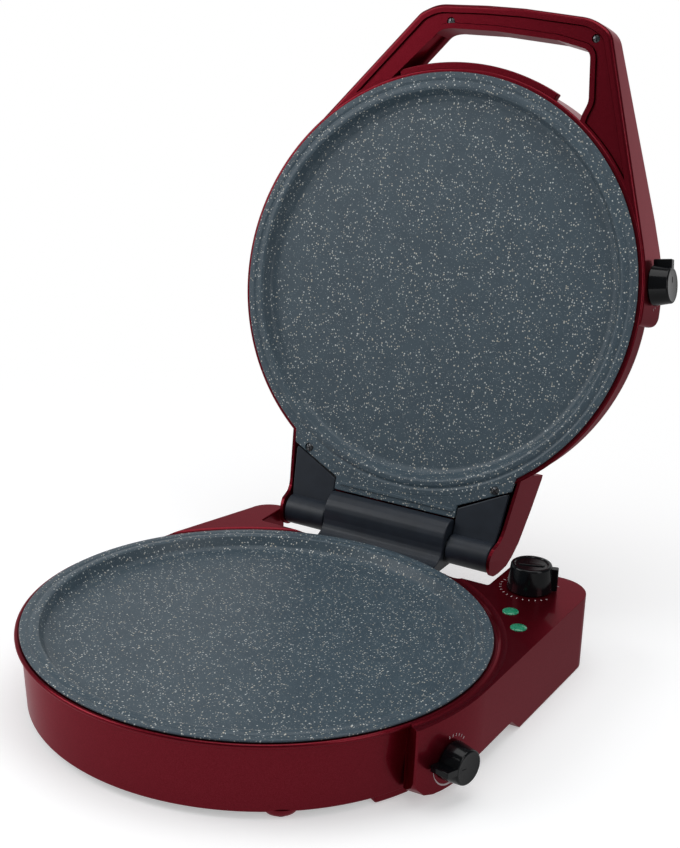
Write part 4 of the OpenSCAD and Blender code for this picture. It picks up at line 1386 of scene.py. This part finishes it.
    def front_room(self, edge: float, window: float, round_r: float, low: float, high: float) -> bmesh.types.BMesh:
        """The face of the handle between its border and its window.

        Args:
            edge: how far it stays inside the handle's outline.
            window: how far it stays off the window.
            round_r: the round of the lid that is taken off.
            low: the bottom's height.
            high: the top's height.

        Returns:
            The solid.
        """
        solid = prism(soften(drawn_in(self.handle_outline(), edge), 8), low, high)
        solid = carved(solid, block((-300, -100, -40), (300, 62, 40)))
        hole = prism(soften(drawn_in(self.window_outline(), -window), 8), -60.0, 40.0)
        solid = carved(solid, carved(hole, self.round_room(150.0)))
        return carved(solid, self.round_room(round_r))

    def cover(self) -> bmesh.types.BMesh:
        """The front cover of the handle, let in behind a fine seam, with two deep screw holes."""
        top = self.front_h - 1.7
        solid = self.front_room(7.0, 4.6, 165.0, self.front_h - 4.0, top)
        edge_round(solid, 0.5, flat_at(top), 3)
        for x, y in self.screws:
            solid = carved(solid, turned(cylinder(3.3, -20, 20, 40), Matrix.Translation((x, y, 0))))
        return solid

    def seam(self) -> bmesh.types.BMesh:
        """The room that is cut for the cover."""
        return self.front_room(6.4, 4.0, 164.4, self.front_h - 4.1, 20.0)

    def screw_heads(self) -> bmesh.types.BMesh:
        """The cover's screws, deep in their holes."""
        heads = [cross_screw(Matrix.Translation((x, y, -5.6)), 25.0 + x) for x, y in self.screws]
        return joined(*heads)

    def make(self) -> None:
        """Builds the lid housing's pieces."""
        place = self.layout.lid()
        red, slot = "red_lacquer", Slot.RED
        self.shop.piece("lid_round", turned(self.round_back(), place), Body.LID, red, slot, ["lid_shell"])
        handle = carved(self.handle(), self.seam())
        self.shop.piece("lid_handle", turned(handle, place), Body.LID, red, slot)
        self.shop.piece("lid_arms", turned(self.arms(), place), Body.LID, red, slot)
        self.shop.piece("window_ledge", turned(self.ledge(), place), Body.LID, red, slot)
        self.shop.piece("grip_cover", turned(self.cover(), place), Body.LID, red, slot, ["handle_cover"])
        self.shop.piece("grip_screws", turned(self.screw_heads(), place), Body.LID, "dark_screw", Slot.STEEL,
                        ["handle_screws"])


@dataclass
class LidFittings:
    """The lid's plate, its knob and the hinge pieces."""

    shop: Workshop
    layout: Layout

    def plate(self) -> bmesh.types.BMesh:
        """The upper plate with its tab and bar."""
        plate = CookingPlate(self.layout)
        start = -(self.layout.plate_r - 33)
        outline = [(94.1, start), (-94.1, start), (-92.1, -140.0, 2.0), (-51.6, -159.4, 1.0), (-51.6, -169.0, 1.5),
                   (51.6, -169.0, 1.5), (51.6, -159.4, 1.0), (92.1, -140.0, 2.0)]
        tab = prism(soften(outline, 4), -3.4, -0.12)
        edge_round(tab, 0.8, flat_at(-0.12), 3)
        tab = carved(tab, cylinder(157.8, -30, 30, 240))
        for side in (-1, 1):
            tab = carved(tab, turned(cylinder(3.7, -1.7, 5, 40), Matrix.Translation((side * 79.3, -141.8, 0))))
        bar = prism(soften([(-47, -164.6, 0.8), (50, -164.6, 0.8), (50, -161.9, 0.8), (-47, -161.9, 0.8)]), -1.0, 0.95)
        edge_round(bar, 0.6, flat_at(0.95), 3)
        return joined(plate.dish(), plate.rib(), tab, bar)

    def make(self) -> None:
        """Builds the pieces on the lid."""
        place = self.layout.lid()
        self.shop.piece("upper_plate", turned(self.plate(), place), Body.LID, "stone_coating", Slot.STONE,
                        ["lid_plate"])
        screws = [cross_screw(Matrix.Translation((side * 79.3, -141.8, -0.7)), 40.0 + 12 * side, 2.8) for side in (-1, 1)]
        self.shop.piece("plate_screws", turned(joined(*screws), place), Body.LID, "dark_screw", Slot.STEEL,
                        ["lid_plate_screws"])
        knob = ControlKnob(15.0, 13.3, 14.0, 19.0, 5.0, 0.0)
        seat = place @ self.layout.radial(9.8, 164.2, -23.0)
        self.shop.piece("lid_dial", knob.make(seat), Body.LID_KNOB, "knob_plastic", Slot.KNOB, ["lid_knob"])


@dataclass
class HingeSet:
    """The black cover over the hinge and the lid's two knuckles."""

    shop: Workshop
    layout: Layout
    cover_r: float = 19.4
    wall: float = 2.0
    half: float = 51.0
    barrel: Point2 = (-191.7, -3.15)
    barrel_r: float = 11.5
    inner: float = 52.2
    outer: float = 87.0
    thickness: float = 4.0

    def cover(self) -> bmesh.types.BMesh:
        """The curved cover, open at the bottom."""
        front = [(-25.3, -10.8), (-19.5, -9.8, 8.0), (-15.5, -8.4, 8.0), (-12.2, -6.0, 6.0), (-10.6, -2.8, 6.0),
                 (-9.8, 1.0, 8.0), (-9.5, 4.5, 8.0), (-9.0, 8.3, 8.0), (-7.4, 12.0, 8.0), (-4.5, 15.2, 8.0),
                 (-0.5, 18.0, 8.0)]
        round_top = [polar(self.cover_r, a) for a in range(78, -16, -6)]
        outline = soften(front + round_top + [(18.8, -19.0), (-25.3, -19.0)], 4)
        room = inset(outline, -self.wall)
        room = [(x - 3 if x < -23 else x, z - 10 if z < -16 else z) for x, z in room]
        solid = self.layout.across(outline, self.half)
        edge_round(solid, 0.9, lambda e: sharp(50)(e) and abs(e.verts[0].co.x - e.verts[1].co.x) < 1e-3
                   and all(v.co.z > -18.5 for v in e.verts), 4)
        solid = carved(solid, self.layout.across(room, self.half - self.wall))
        solid = carved(solid, block((-60, -40, -30), (60, 40, -17.05)))
        return turned(solid, Matrix.Translation((0, self.layout.hinge_y, self.layout.hinge_z)))

    def knuckle(self, side: int) -> bmesh.types.BMesh:
        """A knuckle: a flat cheek that fills the arm and a barrel on the pin.

        Args:
            side: 1 for the right, -1 for the left.

        Returns:
            The knuckle in the lid's own place.
        """
        r = self.layout.plate_r
        outline = [(self.inner, -(self.layout.hinge_y - 4)), (86.6, -(self.layout.hinge_y - 4)),
                   (90.5, -(r - 18.4), 2.0), (self.inner, -(r + 1), 2.0)]
        cheek = prism(soften(outline, 5), -self.thickness - 1, -1.0)
        edge_round(cheek, 0.9, flat_at(-1.0), 4)
        q, h = self.barrel
        barrel = cylinder(self.barrel_r, self.inner, self.outer, 96)
        edge_round(barrel, 1.3, sharp(60), 5)
        turned(barrel, Matrix.Translation((0, q, h)) @ Matrix.Rotation(math.pi / 2, 4, "Y"))
        whole = joined(cheek, barrel)
        if side < 0:
            bmesh.ops.scale(whole, vec=(-1, 1, 1), verts=whole.verts)
            bmesh.ops.reverse_faces(whole, faces=whole.faces)
        return whole

    def make(self) -> None:
        """Builds the hinge's pieces."""
        finish, slot, place = "hinge_plastic", Slot.BLACK, self.layout.lid()
        self.shop.piece("curved_cover", self.cover(), Body.BASE, finish, slot, ["hinge_cover"])
        self.shop.piece("knuckle_left", turned(self.knuckle(-1), place), Body.LID, finish, slot, ["left_knuckle"])
        self.shop.piece("knuckle_right", turned(self.knuckle(1), place), Body.LID, finish, slot, ["right_knuckle"])


@dataclass
class Studio:
    """The floor, the soft lights and the camera at the photograph's place."""

    azimuth: float = 28.23
    elevation: float = 19.84
    roll: float = 2.49
    lens: float = 78.97
    eye: tuple = (0.5832, -0.9812, 0.6148)

    def camera(self) -> None:
        """Places the camera."""
        a, e, r = (math.radians(v) for v in (self.azimuth, self.elevation, self.roll))
        forward = Vector((-math.sin(a) * math.cos(e), math.cos(a) * math.cos(e), -math.sin(e)))
        right = Vector((math.cos(a), math.sin(a), 0.0))
        up = right.cross(forward)
        turned_right = right * math.cos(r) + up * math.sin(r)
        turned_up = up * math.cos(r) - right * math.sin(r)
        data = bpy.data.cameras.new("camera")
        data.lens = self.lens
        data.sensor_width = 36.0
        data.clip_end = 50.0
        camera = bpy.data.objects.new("camera", data)
        axes = Matrix((turned_right, turned_up, -forward)).transposed().to_4x4()
        camera.matrix_world = Matrix.Translation(self.eye) @ axes
        bpy.context.scene.collection.objects.link(camera)
        bpy.context.scene.camera = camera

    def floor(self) -> None:
        """Lays a pale floor that shows white to the camera and keeps the object's shadow."""
        bm = bmesh.new()
        bmesh.ops.create_circle(bm, cap_ends=True, segments=96, radius=1.6)
        mesh = bpy.data.meshes.new("floor")
        bm.to_mesh(mesh)
        bm.free()
        floor = bpy.data.objects.new("floor", mesh)
        bpy.context.scene.collection.objects.link(floor)
        n = Nodes("pale_floor")
        n.set(Base_Color=(0.86, 0.86, 0.86, 1.0), Roughness=0.9, Specular_IOR_Level=0.05)
        path = n.node("LightPath")
        seen = n.maths("MAXIMUM", path.outputs["Is Camera Ray"], path.outputs["Is Glossy Ray"])
        seen = n.maths("MAXIMUM", seen, path.outputs["Is Transmission Ray"])
        far = n.node("VectorMath", {"operation": "LENGTH"}, i0=n.place).outputs["Value"]
        aside = n.node("VectorMath", {"operation": "DOT_PRODUCT"}, i0=n.place, i1=(-0.75, -0.66, 0.0)).outputs["Value"]
        gloss = n.spread(aside, 0.3, 1.0, -0.3, 0.5)
        level = n.maths("MAXIMUM", path.outputs["Is Camera Ray"], gloss)
        white = n.node("Emission", Color=(1.0, 1.0, 1.0, 1.0), Strength=level).outputs[0]
        n.set(Emission_Color=(1.0, 1.0, 1.0, 1.0))
        n.put(n.shader.inputs["Emission Strength"], n.maths("MULTIPLY", path.outputs["Is Camera Ray"], 0.3))
        share = n.maths("MAXIMUM", n.spread(far, 0.12, 1.0, 0.2, 0.75),
                        n.maths("MULTIPLY", path.outputs["Is Glossy Ray"], 0.75))
        fade = n.maths("MULTIPLY", seen, share)
        mixed = n.node("MixShader", i0=fade, i1=n.shader.outputs[0], i2=white).outputs[0]
        n.put(n.tree.nodes["Material Output"].inputs["Surface"], mixed)
        mesh.materials.append(n.material)

    def light(self, name: str, place: Sequence[float], aim: Sequence[float], size: Point2, power: float) -> None:
        """Hangs one soft box.

        Args:
            name: the lamp's name.
            place: its place in metres.
            aim: the point it looks at.
            size: its width and height in metres.
            power: its power in watts.
        """
        data = bpy.data.lights.new(name, "AREA")
        data.shape = "RECTANGLE"
        data.size, data.size_y = size
        data.energy = power
        lamp = bpy.data.objects.new(name, data)
        lamp.location = place
        lamp.rotation_mode = "QUATERNION"
        lamp.rotation_quaternion = (Vector(aim) - Vector(place)).to_track_quat("-Z", "Y")
        bpy.context.scene.collection.objects.link(lamp)

    def world(self) -> None:
        """Makes the surroundings white to the camera and a soft grey to the object."""
        world = bpy.data.worlds.new("studio")
        world.use_nodes = True
        tree = world.node_tree
        tree.nodes.clear()
        path = tree.nodes.new("ShaderNodeLightPath")
        place = tree.nodes.new("ShaderNodeTexCoord")
        rise = tree.nodes.new("ShaderNodeMapRange")
        behind = tree.nodes.new("ShaderNodeVectorMath")
        behind.operation = "DOT_PRODUCT"
        behind.inputs[1].default_value = (-0.42, 0.78, -0.55)
        tree.links.new(place.outputs["Generated"], behind.inputs[0])
        tree.links.new(behind.outputs["Value"], rise.inputs["Value"])
        for name, value in (("From Min", 0.1), ("From Max", 0.95), ("To Min", 0.10), ("To Max", 1.0)):
            rise.inputs[name].default_value = value
        strength = tree.nodes.new("ShaderNodeMath")
        strength.operation = "MAXIMUM"
        tree.links.new(path.outputs["Is Camera Ray"], strength.inputs[0])
        tree.links.new(rise.outputs["Result"], strength.inputs[1])
        seen = tree.nodes.new("ShaderNodeBackground")
        seen.inputs["Color"].default_value = (1.0, 1.0, 1.0, 1.0)
        tree.links.new(strength.outputs[0], seen.inputs["Strength"])
        felt = tree.nodes.new("ShaderNodeBackground")
        felt.inputs["Color"].default_value = (0.95, 0.97, 1.0, 1.0)
        felt.inputs["Strength"].default_value = 0.4
        shown = path.outputs["Is Camera Ray"]
        for name in ("Is Glossy Ray", "Is Transmission Ray"):
            either = tree.nodes.new("ShaderNodeMath")
            either.operation = "MAXIMUM"
            tree.links.new(shown, either.inputs[0])
            tree.links.new(path.outputs[name], either.inputs[1])
            shown = either.outputs[0]
        mix = tree.nodes.new("ShaderNodeMixShader")
        out = tree.nodes.new("ShaderNodeOutputWorld")
        tree.links.new(shown, mix.inputs[0])
        tree.links.new(felt.outputs[0], mix.inputs[1])
        tree.links.new(seen.outputs[0], mix.inputs[2])
        tree.links.new(mix.outputs[0], out.inputs["Surface"])
        bpy.context.scene.world = world

    def make(self) -> None:
        """Sets up the studio."""
        self.camera()
        self.floor()
        self.world()
        aim = (0.0, 0.05, 0.15)
        self.light("left_box", (-1.5, -0.9, 1.3), aim, (1.2, 1.4), 17.0)
        self.light("right_box", (1.7, -0.4, 0.9), aim, (0.7, 1.4), 6.0)
        self.light("top_box", (0.1, 0.2, 2.0), aim, (1.6, 1.6), 14.0)
        bpy.context.scene.view_settings.view_transform = "Standard"


def dress_frame(shop: Workshop) -> None:
    """Gives every CAD node that stays its finish.

    Args:
        shop: the workshop.
    """
    shop.dress("floor_plastic", "base_floor", "control_floor", "post_floor", "cord_gland")
    shop.dress("foot_rubber", "rubber_feet")
    shop.dress("screw_steel", "floor_screws", "hinge_bracket_screws")
    shop.dress("drawn_steel", "base_heater", "base_thermostat", "base_thermostat_shaft", "base_thermal_fuse",
               "timer_body", "timer_shaft", "hinge_bracket", "hinge_pin", "lid_heater", "lid_thermostat",
               "lid_thermostat_shaft", "lid_thermal_fuse")
    shop.dress("bright_aluminium", "base_reflector", "lid_reflector")
    shop.dress("white_plastic", "lamp_sockets", "terminal_block")


def main() -> None:
    """Builds the looks round the frame."""
    logging.basicConfig(level=logging.INFO, format="%(name)s %(message)s")
    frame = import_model()
    shop = Workshop(Finishes(), frame["nodes"])
    layout = Layout()
    Studio().make()
    dress_frame(shop)
    housing = BaseHousing(shop, layout)
    housing.make()
    BaseTop(shop, layout, housing).make()
    Marks(shop, layout, housing).make()
    LidHousing(shop, layout).make()
    LidFittings(shop, layout).make()
    HingeSet(shop, layout).make()
    log.info("%d pieces made", shop.count)


if __name__ == "__main__":
    main()
